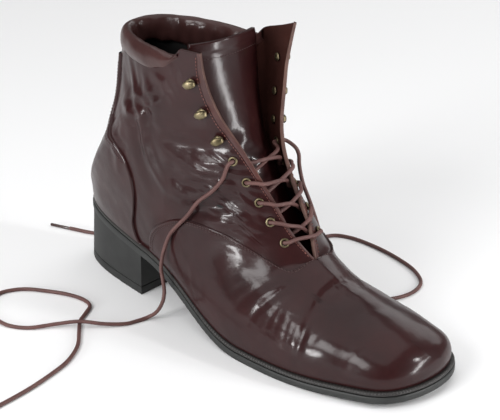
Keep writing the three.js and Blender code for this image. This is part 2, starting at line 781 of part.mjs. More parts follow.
// One strand: from an eyelet's outside over that edge, and under the other facing to the
// eyelet below. The last pair comes up from inside.
function strand(from, to, k, middle) {
  const start = EYELET_SHARES[k + 1];
  const end = EYELET_SHARES[k];
  const under = -WALL - LACE / 2 - 1.1;
  const first = k === TOP_EYELET - 1
    ? [
      strandEnd(from, start, -UNDER_EYELET),
      lifted(facingSpot(from, start - 0.03, 2), under),
    ]
    : [
      strandEnd(from, start, OVER_EYELET),
      lifted(facingSpot(from, start - 0.01, 5), LACE / 2 + 1.15),
      lifted(facingSpot(from, start - 0.025, 0.4), LACE / 2 + 0.8),
    ];
  const last = [
    lifted(facingSpot(to, end + 0.03, 2), under),
    strandEnd(to, end, -UNDER_EYELET),
  ];
  return tube([...first, middle, ...last], LACE, 14, 6);
}

function crossingMiddle(k) {
  const share = (EYELET_SHARES[k] + EYELET_SHARES[k + 1]) / 2;
  const height = k === TOP_EYELET - 1 ? -WALL - LACE / 2 - 0.6 : -0.6;
  const near = lifted(facingSpot("outer", share, 0.5), height);
  const far = lifted(facingSpot("inner", share, 0.5), height);
  return near.add(far).multiplyScalar(0.5);
}

function laceCrossing(k) {
  const middle = crossingMiddle(k);
  return strand("outer", "inner", k, middle).add(strand("inner", "outer", k, middle));
}

// Loose ends of the lace, from the top eyelets over the quarters and along the floor
const FLOOR = LACE / 2 + 0.05;
const LOOSE_ENDS = {
  outer: [
    [138.5, -26.4, 102.5], [133.5, -29.8, 94.5], [124.5, -32.9, 85.5], [117.5, -34.7, 75],
    [110.5, -35.3, 67], [103.5, -35.5, 58.5], [99.5, -35.7, 50], [97.5, -36.8, 42], [97.8, -38.6, 34],
    [100.5, -40, 28], [103, -41.4, 21], [102.5, -42.6, 14], [98.5, -44.3, 6], [94, -47, 2],
    [91.5, -54, FLOOR], [89, -61, FLOOR], [81, -72, 2.6], [70, -81.5, 4], [60, -91.5, 2.6], [49, -105, FLOOR],
    [39, -111, FLOOR], [31, -112, FLOOR], [18, -110, FLOOR], [7, -102, FLOOR], [2, -89, FLOOR],
    [8, -76, FLOOR], [23, -66, FLOOR], [37, -60, FLOOR], [48, -58.5, FLOOR], [56, -61, FLOOR],
    [61, -69, FLOOR], [66, -78, FLOOR], [75, -87, FLOOR], [87, -99, FLOOR], [96, -115, FLOOR],
    [100, -131, FLOOR], [103, -151, FLOOR], [104, -172, FLOOR], [104, -188, FLOOR],
  ],
  inner: [
    [148.5, 26, 109.2], [150.3, 27.2, 105], [150.6, 27.6, 98], [151.5, 28, 92], [153.5, 28.2, 85.5],
    [157, 28.8, 78], [158.5, 31.5, 69], [158.5, 38, 52], [156, 44, 36], [149, 52, 20], [139, 61, 8],
    [127, 71, 2.2], [115, 83, FLOOR], [105, 96, FLOOR], [101, 108, FLOOR], [105, 117.5, FLOOR],
    [116, 122.5, FLOOR], [139, 123, FLOOR], [162, 119, FLOOR], [177, 113.5, FLOOR], [189, 104, FLOOR],
    [193, 93, FLOOR], [192, 82, FLOOR], [186, 71, FLOOR], [172, 63, FLOOR], [150, 58, FLOOR],
    [120, 55, FLOOR], [85, 50, FLOOR], [50, 42, FLOOR], [20, 30, FLOOR], [-4, 16, FLOOR],
    [-19.5, 8, FLOOR], [-34.8, 2.8, FLOOR],
  ],
};
const TOP_EYELET = EYELET_SHARES.length - 1;
const START_HEIGHT = { outer: OVER_EYELET, inner: OVER_EYELET - 0.7 };

function loosePath(side) {
  const start = facingSpot(side, EYELET_SHARES[TOP_EYELET], HARDWARE_INSET);
  const rest = LOOSE_ENDS[side].map(([x, y, z]) => vec(x, y, z));
  return [lifted(start, START_HEIGHT[side]), ...rest];
}

const looseEnd = (side) => tube(loosePath(side), LACE, 72, 6);

function aglet(side) {
  const path = loosePath(side);
  const curve = new THREE.CatmullRomCurve3(path, false, "centripetal");
  const along = curve.getTangentAt(1);
  const end = path.at(-1);
  const low = Math.min(0, AGLET / 2 + 0.05 - end.z);
  const start = end.clone().addScaledVector(along, GAP).add(vec(0, 0, low));
  return tube([start, start.clone().addScaledVector(along, AGLET_LENGTH)], AGLET, 2, 10);
}

function place(name, solid, colour) {
  const mesh = solid.simplify(0.04).getMesh();
  const geometry = new THREE.BufferGeometry();
  geometry.setAttribute("position", new THREE.BufferAttribute(new Float32Array(mesh.vertProperties), 3));
  geometry.setIndex(new THREE.BufferAttribute(new Uint32Array(mesh.triVerts), 1));
  geometry.translate(-(HEEL_LENGTH - HEEL_FLARE + HEEL_INSET) / 2, 0, 0);
  const node = new THREE.Mesh(geometry, new THREE.MeshStandardMaterial({ color: colour }));
  node.name = name;
  return node;
}

const boot = new THREE.Group();
boot.name = "ankle_boot";
boot.add(place("outsole", outsole(), 0x2a2c2b));
boot.add(place("welt", welt(), 0x30302e));
boot.add(place("insole", insole(), 0x9a7a58));
boot.add(place("heel_block", heelBlock(), 0x252726));
boot.add(place("top_lift", topLift(), 0x1c1c1c));
boot.add(place("upper", upper(), 0x4a2a2c));
boot.add(place("counter", counter(), 0x50302f));
boot.add(place("collar_pad", collarPad(), 0x5a3434));
boot.add(place("tongue", tongue(), 0x4d2b2b));
for (const { side, index, spot } of hardwareSpots(EYELET_SHARES)) {
  boot.add(place(`eyelet_${SIDE_NAMES[side]}_${index}`, setOn(eyelet(), spot), 0x9a8450));
}
for (const { side, index, spot } of hardwareSpots(HOOK_SHARES)) {
  boot.add(place(`hook_${SIDE_NAMES[side]}_${index}`, setOn(hook(), spot), 0x8f7a48));
}
boot.add(place("lace_bar", laceBar(), 0x5b3331));
for (let k = 0; k < TOP_EYELET; k++) {
  boot.add(place(`lace_cross_${k + 1}`, laceCrossing(k), 0x5b3331));
}
for (const side of ["outer", "inner"]) {
  boot.add(place(`lace_end_${SIDE_NAMES[side]}`, looseEnd(side), 0x5b3331));
  boot.add(place(`aglet_${SIDE_NAMES[side]}`, aglet(side), 0x3a2422));
}
export default boot;
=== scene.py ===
import json
import math

import bmesh
import bpy
import numpy as np
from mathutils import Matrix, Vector

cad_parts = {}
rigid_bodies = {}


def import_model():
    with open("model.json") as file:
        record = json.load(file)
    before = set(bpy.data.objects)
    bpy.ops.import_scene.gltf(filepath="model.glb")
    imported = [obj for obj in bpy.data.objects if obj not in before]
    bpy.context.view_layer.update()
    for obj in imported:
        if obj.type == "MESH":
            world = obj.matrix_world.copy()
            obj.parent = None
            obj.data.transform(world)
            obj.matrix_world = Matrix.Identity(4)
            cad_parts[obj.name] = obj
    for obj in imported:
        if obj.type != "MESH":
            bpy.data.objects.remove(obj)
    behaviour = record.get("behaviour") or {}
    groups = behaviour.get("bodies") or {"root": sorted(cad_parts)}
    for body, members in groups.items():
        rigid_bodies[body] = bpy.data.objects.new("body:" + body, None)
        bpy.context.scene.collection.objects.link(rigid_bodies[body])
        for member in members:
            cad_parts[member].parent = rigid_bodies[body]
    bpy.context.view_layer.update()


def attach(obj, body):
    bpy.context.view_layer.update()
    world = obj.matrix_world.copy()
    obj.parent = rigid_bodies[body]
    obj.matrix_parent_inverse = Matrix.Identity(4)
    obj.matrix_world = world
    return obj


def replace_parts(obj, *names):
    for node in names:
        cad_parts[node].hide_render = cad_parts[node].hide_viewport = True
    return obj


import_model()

# The sole's sizes
LENGTH = 277.0
BALL_WIDTH = 90.0
SEAT_HEIGHT = 28.0
SEAT_RISE = 10.0
TOE_SPRING = 4.5
TOE_SWING = 6.0
HEEL_LENGTH = 68.0
HEEL_INSET = 0.6
HEEL_FLARE = 2.3
OUTSOLE = 4.2
WELT = 2.6
INSOLE = 3.0
LIFT = 5.5
GAP = 0.3
FLAT_START = 0.6
FLAT_END = 0.7
ORIGIN_X = (HEEL_LENGTH - HEEL_FLARE + HEEL_INSET) / 2

# The upper's sizes
INSTEP_HEIGHT = 57.0
SHAFT_HEIGHT = 178.0
COLLAR_BACK = 172.0
WALL = 2.2
LAYER = 1.0
OVERLAY = 1.4
LACE = 2.4
ROWS = 16
HARDWARE_INSET = 9.5
SIDES = {"outer": -1, "inner": 1}


def spline(xs, ys):
    """A natural cubic spline through the points, read at an array of places."""
    xs, ys = np.asarray(xs, float), np.asarray(ys, float)
    n, step = len(xs), np.diff(xs)
    rule, goal = np.eye(n), np.zeros(n)
    for i in range(1, n - 1):
        rule[i, i - 1:i + 2] = step[i - 1], 2 * (step[i - 1] + step[i]), step[i]
        goal[i] = 6 * ((ys[i + 1] - ys[i]) / step[i] - (ys[i] - ys[i - 1]) / step[i - 1])
    bend = np.linalg.solve(rule, goal)

    def at(x):
        x = np.asarray(x, float)
        k = np.clip(np.searchsorted(xs, x) - 1, 0, n - 2)
        h = step[k]
        a = (xs[k + 1] - x) / h
        b = 1 - a
        curve = (a ** 3 - a) * bend[k] + (b ** 3 - b) * bend[k + 1]
        return a * ys[k] + b * ys[k + 1] + curve * h * h / 6

    return at


def columns(names, rows):
    """A spline for each named column, read at the values of the first column."""
    rows = np.asarray(rows, float)
    return {name: spline(rows[:, 0], rows[:, k + 1]) for k, name in enumerate(names)}


def unit(v):
    return v / np.maximum(np.linalg.norm(v, axis=-1, keepdims=True), 1e-9)


def vec(x, y, z):
    x, y, z = np.broadcast_arrays(np.asarray(x, float), y, z)
    return np.stack([x, y, z], -1)

def run_along(p, axis=0):
    """The distance run along a line of points, or along each line of a grid."""
    steps = np.linalg.norm(np.diff(p, axis=axis), axis=-1)
    start = np.zeros_like(np.take(steps, [0], axis=axis))
    return np.concatenate([start, np.cumsum(steps, axis=axis)], axis=axis)


# Sole outline: share of the length, then half widths as shares of the ball width
OUTLINE = np.array([
    [0.04, 0.160, 0.160],
    [0.12, 0.248, 0.248],
    [0.24, 0.310, 0.302],
    [0.38, 0.380, 0.283],
    [0.52, 0.474, 0.350],
    [0.64, 0.513, 0.439],
    [0.78, 0.504, 0.482],
    [0.88, 0.444, 0.428],
    [0.95, 0.372, 0.356],
])


def turn_at(along):
    return np.arccos(2 * along - 1) / np.pi


def outline_curve(column):
    rows = OUTLINE[::-1]
    return spline([0, *turn_at(rows[:, 0]), 1], [0, *(rows[:, column] * BALL_WIDTH), 0])


HALF_WIDTH = {"outer": outline_curve(1), "inner": outline_curve(2)}


def outline_point(side, turn):
    x = LENGTH * (1 + np.cos(np.pi * np.asarray(turn, float))) / 2
    centre = TOE_SWING * np.maximum(0, (x / LENGTH - 0.55) / 0.45) ** 1.6
    return vec(x, centre + SIDES[side] * HALF_WIDTH[side](turn), 0)


def outline_frame(side, turn):
    """The way forward along the outline and the way out of it."""
    turn = np.asarray(turn, float)
    ahead = outline_point(side, np.maximum(0, turn - 0.004))
    behind = outline_point(side, np.minimum(1, turn + 0.004))
    forward = ahead - behind
    forward[..., 0] = np.where((turn <= 0) | (turn >= 1), 0, forward[..., 0])
    forward = unit(forward)
    outward = vec(-forward[..., 1], forward[..., 0], 0) * SIDES[side]
    return forward, outward


def inset_point(side, turn, inset):
    return outline_point(side, turn) - outline_frame(side, turn)[1] * np.asarray(inset)[..., None]


def tread_height(x):
    x = np.asarray(x, float)
    start, end = FLAT_START * LENGTH, FLAT_END * LENGTH
    run = start - HEEL_LENGTH
    t = np.clip((start - x) / run, 0, 1)
    arch = SEAT_HEIGHT * t * t * (3 - 2 * t) - 0.06 * run * (t * t - t ** 3)
    toe = TOE_SPRING * (np.maximum(x - end, 0) / (LENGTH - end)) ** 1.8
    seat = SEAT_HEIGHT + SEAT_RISE * (1 - x / HEEL_LENGTH)
    return np.where(x < HEEL_LENGTH, seat, np.where(x < start, arch, np.where(x <= end, 0, toe)))


def sole_top(x):
    return tread_height(x) + OUTSOLE + GAP + WELT


# The upper: ridge of the vamp, edges of the facings, back seam, and the ribs between them
REACH = spline([0, 0.35, 0.6, 1], [3.8, 3.6, 2.6, 2.4])
RIDGE = columns(["along", "height"], [
    [0.0, 0.935, 0.545],
    [0.2, 0.892, 0.625],
    [0.4, 0.838, 0.703],
    [0.6, 0.783, 0.795],
    [0.8, 0.730, 0.896],
    [1.0, 0.683, 1.0],
])
FACINGS = {
    "outer": columns(["along", "half", "height"], [
        [1.0, 0.683, 0.0, 0.0],
        [1.12, 0.635, 0.058, 0.116],
        [1.25, 0.603, 0.095, 0.24],
        [1.37, 0.574, 0.134, 0.355],
        [1.48, 0.546, 0.172, 0.463],
        [1.56, 0.524, 0.2, 0.537],
        [1.66, 0.495, 0.245, 0.636],
        [1.79, 0.472, 0.3, 0.769],
        [1.92, 0.458, 0.335, 0.909],
        [2.0, 0.455, 0.345, 1.0],
    ]),
    "inner": columns(["along", "half", "height"], [
        [1.0, 0.683, 0.0, 0.0],
        [1.12, 0.65, 0.067, 0.116],
        [1.25, 0.605, 0.111, 0.248],
        [1.37, 0.567, 0.144, 0.364],
        [1.48, 0.543, 0.172, 0.463],
        [1.56, 0.532, 0.189, 0.541],
        [1.66, 0.523, 0.222, 0.64],
        [1.79, 0.52, 0.256, 0.785],
        [1.92, 0.522, 0.29, 0.955],
        [2.0, 0.527, 0.322, 1.074],
    ]),
}
BACK = columns(["lean", "height"], [
    [1.0, 0.0, 0.0],
    [1.06, 0.0105, 0.055],
    [1.16, 0.0295, 0.157],
    [1.26, 0.052, 0.26],
    [1.37, 0.069, 0.37],
    [1.48, 0.0865, 0.48],
    [1.58, 0.099, 0.575],
    [1.7, 0.111, 0.7],
    [1.85, 0.122, 0.843],
    [2.0, 0.144, 1.0],
])
RIBS = columns(["foot", "top", "rise", "sweep", "bulge", "ahead", "aside", "drop"], [
    [0, 0.0, 0.0, 0.45, 0.0, 0.1, 0.36, 0.0, 0.0],
    [1, 0.13, 0.08, 0.43, 0.0, 0.09, 0.26, 0.2, 0.0],
    [2, 0.24, 0.26, 0.42, 0.0, 0.07, 0.12, 0.4, 0.0],
    [3, 0.34, 0.56, 0.4, 0.05, 0.06, 0.0, 0.42, 0.02],
    [4, 0.43, 0.92, 0.37, 0.12, 0.05, -0.08, 0.38, 0.03],
    [5, 0.5, 1.0, 0.34, 0.16, 0.05, -0.12, 0.34, 0.03],
    [6, 0.57, 1.07, 0.31, 0.16, 0.055, -0.15, 0.3, 0.04],
    [7, 0.65, 1.34, 0.28, 0.15, 0.06, -0.19, 0.24, 0.08],
    [8, 0.75, 1.54, 0.24, 0.15, 0.05, -0.25, 0.19, 0.1],
    [9, 0.87, 1.67, 0.18, 0.145, 0.03, -0.3, 0.15, 0.08],
    [10, 0.965, 1.74, 0.14, 0.14, 0.01, -0.32, 0.13, 0.06],
    [11, 1.0, 1.79, 0.1, 0.135, 0.0, -0.33, 0.12, 0.05],
    [12, 1.035, 1.83, 0.08, 0.135, 0.0, -0.33, 0.11, 0.04],
    [13, 1.16, 1.875, 0.05, 0.145, 0.0, -0.33, 0.1, 0.03],
    [14, 1.4, 1.92, 0.03, 0.175, 0.0, -0.34, 0.09, 0.02],
    [15, 1.7, 1.96, 0.02, 0.22, 0.0, -0.36, 0.085, 0.0],
    [16, 2.0, 2.0, 0.0, 0.29, 0.0, -0.36, 0.08, 0.0],
])
INNER_FULLNESS = spline([0, 1, 2, 3, 4, 5, 6, 7, 9, 16], [0.9, 0.8, 0.69, 0.7, 1.15, 1.9, 1.6, 0.88, 1, 1])


def slope(curve, at):
    return (curve(at + 0.01) - curve(at - 0.01)) / 0.02


def rib_foot(side, share):
    turn = np.minimum(share, 1)
    forward, outward = outline_frame(side, turn)
    point = outline_point(side, turn) - outward * REACH(turn)[..., None]
    point[..., 2] = sole_top(point[..., 0]) + GAP
    base = sole_top(0) + GAP
    at = np.maximum(share, 1)
    rise = COLLAR_BACK - base
    seam = vec(REACH(1.0) + LENGTH * BACK["lean"](at), 0, base + BACK["height"](at) * rise)
    tilt = np.minimum(1, (at - 1) / 0.3)
    seam_up = unit(vec(tilt * LENGTH * slope(BACK["lean"], at), 0, rise * slope(BACK["height"], at)))
    high = (share > 1)[..., None]
    up = np.where(high, seam_up, vec(0, 0, 1))
    forward = np.where(high, vec(0, SIDES[side], 0), forward)
    outward = np.where(high, vec(-seam_up[..., 2], 0, seam_up[..., 0]), outward)
    return np.where(high, seam, point), up, forward, outward


def rib_top(side, share):
    at = np.minimum(share, 1)
    pitch = INSTEP_HEIGHT * slope(RIDGE["height"], at) / (LENGTH * slope(RIDGE["along"], at))
    pitch = pitch * (1 + np.cos(np.pi * np.clip((share - 1) / 0.5, 0, 1))) / 2
    ahead = unit(vec(1, 0, pitch))
    down = vec(ahead[..., 2], 0, -ahead[..., 0])
    ridge = vec(LENGTH * RIDGE["along"](at), 0, INSTEP_HEIGHT * RIDGE["height"](at))
    at = np.maximum(share, 1)
    edge = FACINGS[side]
    facing = vec(
        LENGTH * edge["along"](at),
        SIDES[side] * BALL_WIDTH * edge["half"](at),
        INSTEP_HEIGHT + (SHAFT_HEIGHT - INSTEP_HEIGHT) * edge["height"](at),
    )
    return np.where((share > 1)[..., None], facing, ridge), ahead, down


def ribs_at(side, row, share):
    """Points on the ribs: row counts them, and share runs up each of them."""
    row, v = np.broadcast_arrays(np.asarray(row, float), np.asarray(share, float))
    row = np.clip(row, 0, ROWS)
    at = {name: curve(row) for name, curve in RIBS.items()}
    foot, up, forward, outward = rib_foot(side, np.clip(at["foot"], 0, 2))
    top, ahead, down = rib_top(side, np.clip(at["top"], 0, 2))
    chord = np.linalg.norm(top - foot, axis=-1)
    aside = at["aside"] * (INNER_FULLNESS(row) if side == "inner" else 1)
    beside = vec(0, SIDES[side], 0)

    def handle(way, k):
        return way * (k * chord)[..., None]

    low = foot + handle(up, at["rise"]) + handle(forward, at["sweep"]) + handle(outward, at["bulge"])
    high = top + handle(ahead, at["ahead"]) + handle(beside, aside) + handle(down, at["drop"])
    v = v[..., None]
    return (1 - v) ** 3 * foot + 3 * v * (1 - v) ** 2 * low + 3 * v * v * (1 - v) * high + v ** 3 * top


# Where the ribs turn from the sole to the back seam, and how far the easing reaches
TURN_ROW = 11.3
TURN_REACH = 1.5


def surface(side, row, share):
    """Points on the upper, eased where the ribs turn from the sole to the back seam."""
    row, share = np.broadcast_arrays(np.asarray(row, float), np.asarray(share, float))
    spread = 0.95 * np.clip(1.6 - np.abs(row - TURN_ROW) / TURN_REACH, 0, 1)
    points = ribs_at(side, row, share)
    eased = spread > 0
    if eased.any():
        ways = (-1, -0.6, -0.2, 0.2, 0.6, 1)
        near = [ribs_at(side, row[eased] + spread[eased] * k, share[eased]) for k in ways]
        points = np.array(points)
        points[eased] = np.mean(near, axis=0)
    return points


def normal(side, row, share):
    """The way out of the upper at each place."""
    row, share = np.broadcast_arrays(np.asarray(row, float), np.asarray(share, float))
    inside = np.clip(share, 0.004, 0.996)
    ahead = surface(side, np.minimum(row + 0.03, ROWS), inside)
    along = ahead - surface(side, np.maximum(row - 0.03, 0), inside)
    up = surface(side, row, inside + 0.003) - surface(side, row, inside - 0.003)
    return unit(np.cross(along, up) * SIDES[side])


# Lines on the upper in side view
VAMP_EDGE = [
    [193, 64], [184, 54.5], [177, 55], [168, 59], [156, 64], [143, 68.5],
    [125, 71], [108, 69], [94, 62], [83, 53], [78, 45], [76, 36], [76, 30],
]
COUNTER_EDGE = [
    [46, 158.7], [45, 145], [43, 128], [41, 116], [46, 107], [55, 101], [63, 92], [67, 82],
    [68, 72], [66, 60], [63, 50], [64, 42], [68, 34],
]
DIP_HEIGHT = 159
DIP = {
    "outer": [[-20, 159], [50, 159], [66, 160], [84, 160.5], [93, 162], [100, 166], [106, 171.5],
              [111, 177], [115, 184], [118, 200]],
    "inner": [[-20, 159], [50, 159], [66, 158], [88, 159], [104, 163], [113, 170], [120, 176.5], [128, 179.5],
              [137, 182.5], [146, 186], [156, 190]],
}


def smooth_line(rows, parts):
    """Centripetal Catmull-Rom curve through the rows."""
    p = np.asarray(rows, float)
    p = np.vstack([2 * p[0] - p[1], p, 2 * p[-1] - p[-2]])
    spans = len(p) - 3
    out = []
    for s in range(parts + 1):
        k = min(int(s * spans / parts), spans - 1)
        u = s * spans / parts - k
        a, b, c, d = p[k:k + 4]
        t0 = 0.0
        t1 = t0 + np.linalg.norm(b - a) ** 0.5
        t2 = t1 + np.linalg.norm(c - b) ** 0.5
        t3 = t2 + np.linalg.norm(d - c) ** 0.5
        t = t1 + u * (t2 - t1)
        a1 = (t1 - t) / (t1 - t0) * a + (t - t0) / (t1 - t0) * b
        a2 = (t2 - t) / (t2 - t1) * b + (t - t1) / (t2 - t1) * c
        a3 = (t3 - t) / (t3 - t2) * c + (t - t2) / (t3 - t2) * d
        b1 = (t2 - t) / (t2 - t0) * a1 + (t - t0) / (t2 - t0) * a2
        b2 = (t3 - t) / (t3 - t1) * a2 + (t - t1) / (t3 - t1) * a3
        out.append((t2 - t) / (t2 - t1) * b1 + (t - t1) / (t2 - t1) * b2)
    return np.array(out)


def within(outline, x, z):
    """Whether points of the side view lie inside an outline."""
    inside = np.zeros(np.shape(x), bool)
    for (x0, z0), (x1, z1) in zip(outline, np.roll(outline, -1, axis=0)):
        crosses = (z0 > z) != (z1 > z)
        at = (x1 - x0) * (z - z0) / np.where(z1 == z0, 1e-9, z1 - z0) + x0
        inside ^= crosses & (x < at)
    return inside


VAMP_AREA = np.vstack([[[320, -5], [320, 64]], smooth_line(VAMP_EDGE, 80), [[76, -5]]])
COUNTER_AREA = np.vstack([smooth_line(COUNTER_EDGE, 80), [[-20, 34], [-20, 158.7]]])

DIP_LINES = {side: smooth_line(rows, 60) for side, rows in DIP.items()}


def dip_height(side, x):
    """Height of the quarter's top edge, in side view."""
    line = DIP_LINES[side]
    return np.interp(x, line[:, 0], line[:, 1])


def first_crossing(test, low, high, parts=160):
    """For each column, the place between low and high where test first turns true."""
    places = low + (high - low) * np.linspace(0, 1, parts + 1)[:, None]
    hits = test(places)
    hits[-1] = True
    k = np.argmax(hits, axis=0)
    a = np.take_along_axis(places, np.maximum(k - 1, 0)[None], 0)[0]
    b = np.take_along_axis(places, k[None], 0)[0]
    for _ in range(18):
        middle = (a + b) / 2
        hit = test(middle[None])[0]
        a, b = np.where(hit, a, middle), np.where(hit, middle, b)
    return np.where(k == 0, low, b)


def vamp_limit(side, shares):
    """The rib on which the vamp ends, for each share."""
    def outside(rows):
        p = surface(side, rows, shares[None])
        return ~within(VAMP_AREA, p[..., 0], p[..., 2])
    zero = np.zeros_like(shares)
    return first_crossing(outside, zero + 3.0, zero + 11.0)


def top_limit(side, shares):
    """The rib on which the top line runs, for each share."""
    def above(rows):
        p = surface(side, rows, shares[None])
        return p[..., 2] > dip_height(side, p[..., 0])
    zero = np.zeros_like(shares)
    return first_crossing(above, zero + 9.0, zero + ROWS)


def counter_limit(side, rows):
    """The share at which the counter ends, for each rib."""
    def outside(shares):
        p = surface(side, rows[None], shares)
        return ~within(COUNTER_AREA, p[..., 0], p[..., 2])
    zero = np.zeros_like(rows)
    return first_crossing(outside, zero + 0.002, zero + 0.9)


# Creases and folds: depth and half width in millimetres (a negative depth stands proud), then
# places as (rib, u), where u runs 0 to 1 up the outer side and on to 2 down the inner side.
CREASES = [
    # The flex crease across the ball, and the folds on both sides of it
    (1, 2.2, [(2.84, 0.02), (2.9, 0.16), (3.02, 0.38), (3.2, 0.6), (3.38, 0.825), (3.44, 1.06), (3.44, 1.26),
              (3.36, 1.5), (3.2, 1.75)]),
    (-0.6, 6.6, [(2.5, 0.1), (2.6, 0.4), (2.78, 0.6), (2.94, 0.825), (3.0, 1.06), (3.0, 1.3), (2.9, 1.6)]),
    (-0.51, 7.15, [(3.5, 0.5), (3.62, 0.7), (3.84, 0.9), (3.9, 1.1), (3.86, 1.35), (3.7, 1.6)]),
    (0.47, 1.87, [(4.08, 0.2), (4.08, 0.375), (4.05, 0.5), (4.0, 0.605), (3.92, 0.67), (3.96, 0.78)]),
    (-0.37, 3.08, [(4.3, 0.22), (4.32, 0.375), (4.28, 0.5), (4.2, 0.605), (4.14, 0.7)]),
    (0.33, 2.42, [(4.58, 0.24), (4.66, 0.4), (4.62, 0.49), (4.56, 0.58), (4.44, 0.66)]),
    (0.12, 1.43, [(3.6, 0.2), (3.7, 0.32), (3.74, 0.42), (3.72, 0.56)]),
    (0.12, 1.32, [(3.44, 0.22), (3.52, 0.335), (3.6, 0.445), (3.74, 0.64)]),
    (0.12, 1.21, [(3.2, 0.17), (3.3, 0.31), (3.4, 0.435), (3.56, 0.65)]),
    (0.09, 1.21, [(3.06, 0.14), (3.16, 0.28), (3.22, 0.405), (3.32, 0.54)]),
    (0.075, 1.1, [(3.04, 0.2), (3.12, 0.36), (3.18, 0.5)]),
    (0.14, 1.43, [(2.88, 0.27), (2.82, 0.39), (2.8, 0.465), (2.72, 0.56)]),
    (0.15, 1.54, [(1.98, 0.17), (2.0, 0.325), (1.96, 0.44), (1.9, 0.535), (1.8, 0.64)]),
    (0.24, 2.86, [(2.74, 0.66), (2.68, 0.79), (2.62, 0.89), (2.52, 1.03), (2.44, 1.27)]),
    (0.19, 2.64, [(2.66, 0.6), (2.58, 0.715), (2.46, 0.86)]),
    (0.28, 3.3, [(3.2, 0.9), (3.2, 1.1), (3.14, 1.35)]),
    (0.28, 3.74, [(3.72, 1.0), (3.7, 1.25), (3.6, 1.5)]),
    (0.33, 2.86, [(5.8, 0.56), (5.46, 0.565), (5.1, 0.59), (4.6, 0.63)]),
    (0.24, 2.42, [(5.0, 0.35), (4.95, 0.5), (4.85, 0.6)]),
    (0.24, 2.42, [(3.6, 1.1), (3.55, 1.4), (3.4, 1.65)]),
    (0.28, 2.2, [(4.1, 1.35), (4.1, 1.55), (4.0, 1.75)]),
    (0.24, 2.2, [(2.5, 1.3), (2.5, 1.5), (2.4, 1.7)]),
    (-0.24, 1.76, [(6.2, 0.27), (5.9, 0.185), (5.66, 0.08)]),
    # Long folds down the shaft, by the counter and under the collar
    (-1.5, 2.6, [(15.5, 0.42), (14.7, 0.53), (13.56, 0.64), (11.18, 0.71), (9.52, 0.66), (8.72, 0.605),
                 (8.2, 0.555), (7.5, 0.49)]),
    (1.3, 3.6, [(15.2, 0.36), (14.3, 0.52), (12.8, 0.66), (10.2, 0.66), (9.1, 0.6), (8.3, 0.51),
                (7.7, 0.43)]),
    (1.1, 3.4, [(15.2, 0.48), (14.1, 0.63), (12.0, 0.745), (9.7, 0.72), (8.7, 0.65), (8.1, 0.59),
                (7.7, 0.54)]),
    (-0.8, 2.2, [(14.1, 0.46), (13.2, 0.59), (11.5, 0.67), (10.0, 0.685)]),
    (-0.9, 2.2, [(15.2, 0.52), (14.3, 0.61), (12.7, 0.715), (11.5, 0.755), (11.8, 0.795), (12.6, 0.84)]),
    (-0.8, 2.2, [(14.4, 0.73), (13.5, 0.8), (12.2, 0.845), (11.0, 0.86)]),
    (0.7, 2.6, [(14.6, 0.67), (13.5, 0.75), (12.2, 0.8), (11.2, 0.82)]),
    (-0.6, 2.6, [(14.9, 0.8), (13.8, 0.87), (12.1, 0.9)]),
    (0.8, 3.4, [(10.7, 0.72), (10.2, 0.78), (9.5, 0.83), (8.98, 0.86)]),
    (3.6, 5.6, [(9.3, 0.7), (8.96, 0.75), (8.68, 0.78), (8.5, 0.81), (8.38, 0.85), (8.3, 0.9), (8.26, 0.96)]),
    (2.8, 4.6, [(8.35, 0.66), (7.95, 0.62), (7.66, 0.62), (7.5, 0.66), (7.46, 0.72), (7.46, 0.8)]),
    (3.6, 5.6, [(7.5, 0.44), (7.2, 0.5), (7.04, 0.58), (6.98, 0.67), (6.98, 0.76), (7.02, 0.84)]),
    (0.5, 1.6, [(7.6, 0.88), (7.56, 0.93), (7.48, 0.98)]),
    (0.5, 1.6, [(7.34, 0.9), (7.26, 0.94), (7.14, 0.985)]),
    (0.45, 1.6, [(7.02, 0.9), (6.92, 0.95), (6.8, 0.985)]),
    (0.4, 1.8, [(6.6, 0.86), (6.55, 0.92), (6.46, 0.98)]),
    (-0.7, 2.6, [(13.5, 0.39), (10.7, 0.535), (9.3, 0.475), (8.7, 0.38)]),
    (0.6, 2.2, [(13.9, 0.39), (12.1, 0.56), (9.6, 0.545), (8.9, 0.46)]),
    # The same wear on the inner side, a little softer
    (1.1, 3.0, [(9.2, 1.3), (8.8, 1.24), (8.4, 1.18), (8.2, 1.1), (8.1, 1.03)]),
    (1.0, 3.2, [(8.2, 1.36), (7.8, 1.32), (7.5, 1.28), (7.4, 1.15)]),
    (-0.7, 3.4, [(15.2, 1.42), (14.2, 1.3), (12.6, 1.22), (10.0, 1.24), (9.0, 1.3), (8.2, 1.4)]),
    (0.5, 3.6, [(14.8, 1.5), (13.6, 1.38), (11.6, 1.31), (9.6, 1.34), (8.7, 1.42)]),
    (-0.5, 3.0, [(14.4, 1.22), (13.4, 1.14), (12.0, 1.12), (11.0, 1.11)]),
    (0.8, 2.8, [(7.5, 1.5), (7.3, 1.42), (7.2, 1.3), (7.1, 1.2)]),
    (0.6, 2.4, [(5.2, 1.3), (5.0, 1.45), (4.8, 1.6)]),
]


def trace(places, parts=5):
    """Points of a crease on the surface, in millimetres."""
    line = []
    for (row0, u0), (row1, u1) in zip(places, places[1:]):
        for t in np.linspace(0, 1, parts, endpoint=False):
            line.append((row0 + (row1 - row0) * t, u0 + (u1 - u0) * t))
    line.append(places[-1])
    rows, u = np.array(line).T
    outer = surface("outer", rows, np.minimum(u, 1))
    inner = surface("inner", rows, np.minimum(2 - u, 1))
    return np.where((u <= 1)[:, None], outer, inner)


# How strong all the creases are together
FOLD_STRENGTH = 0.62
CREASE_LINES = [(depth, width, trace(places)) for depth, width, places in CREASES]


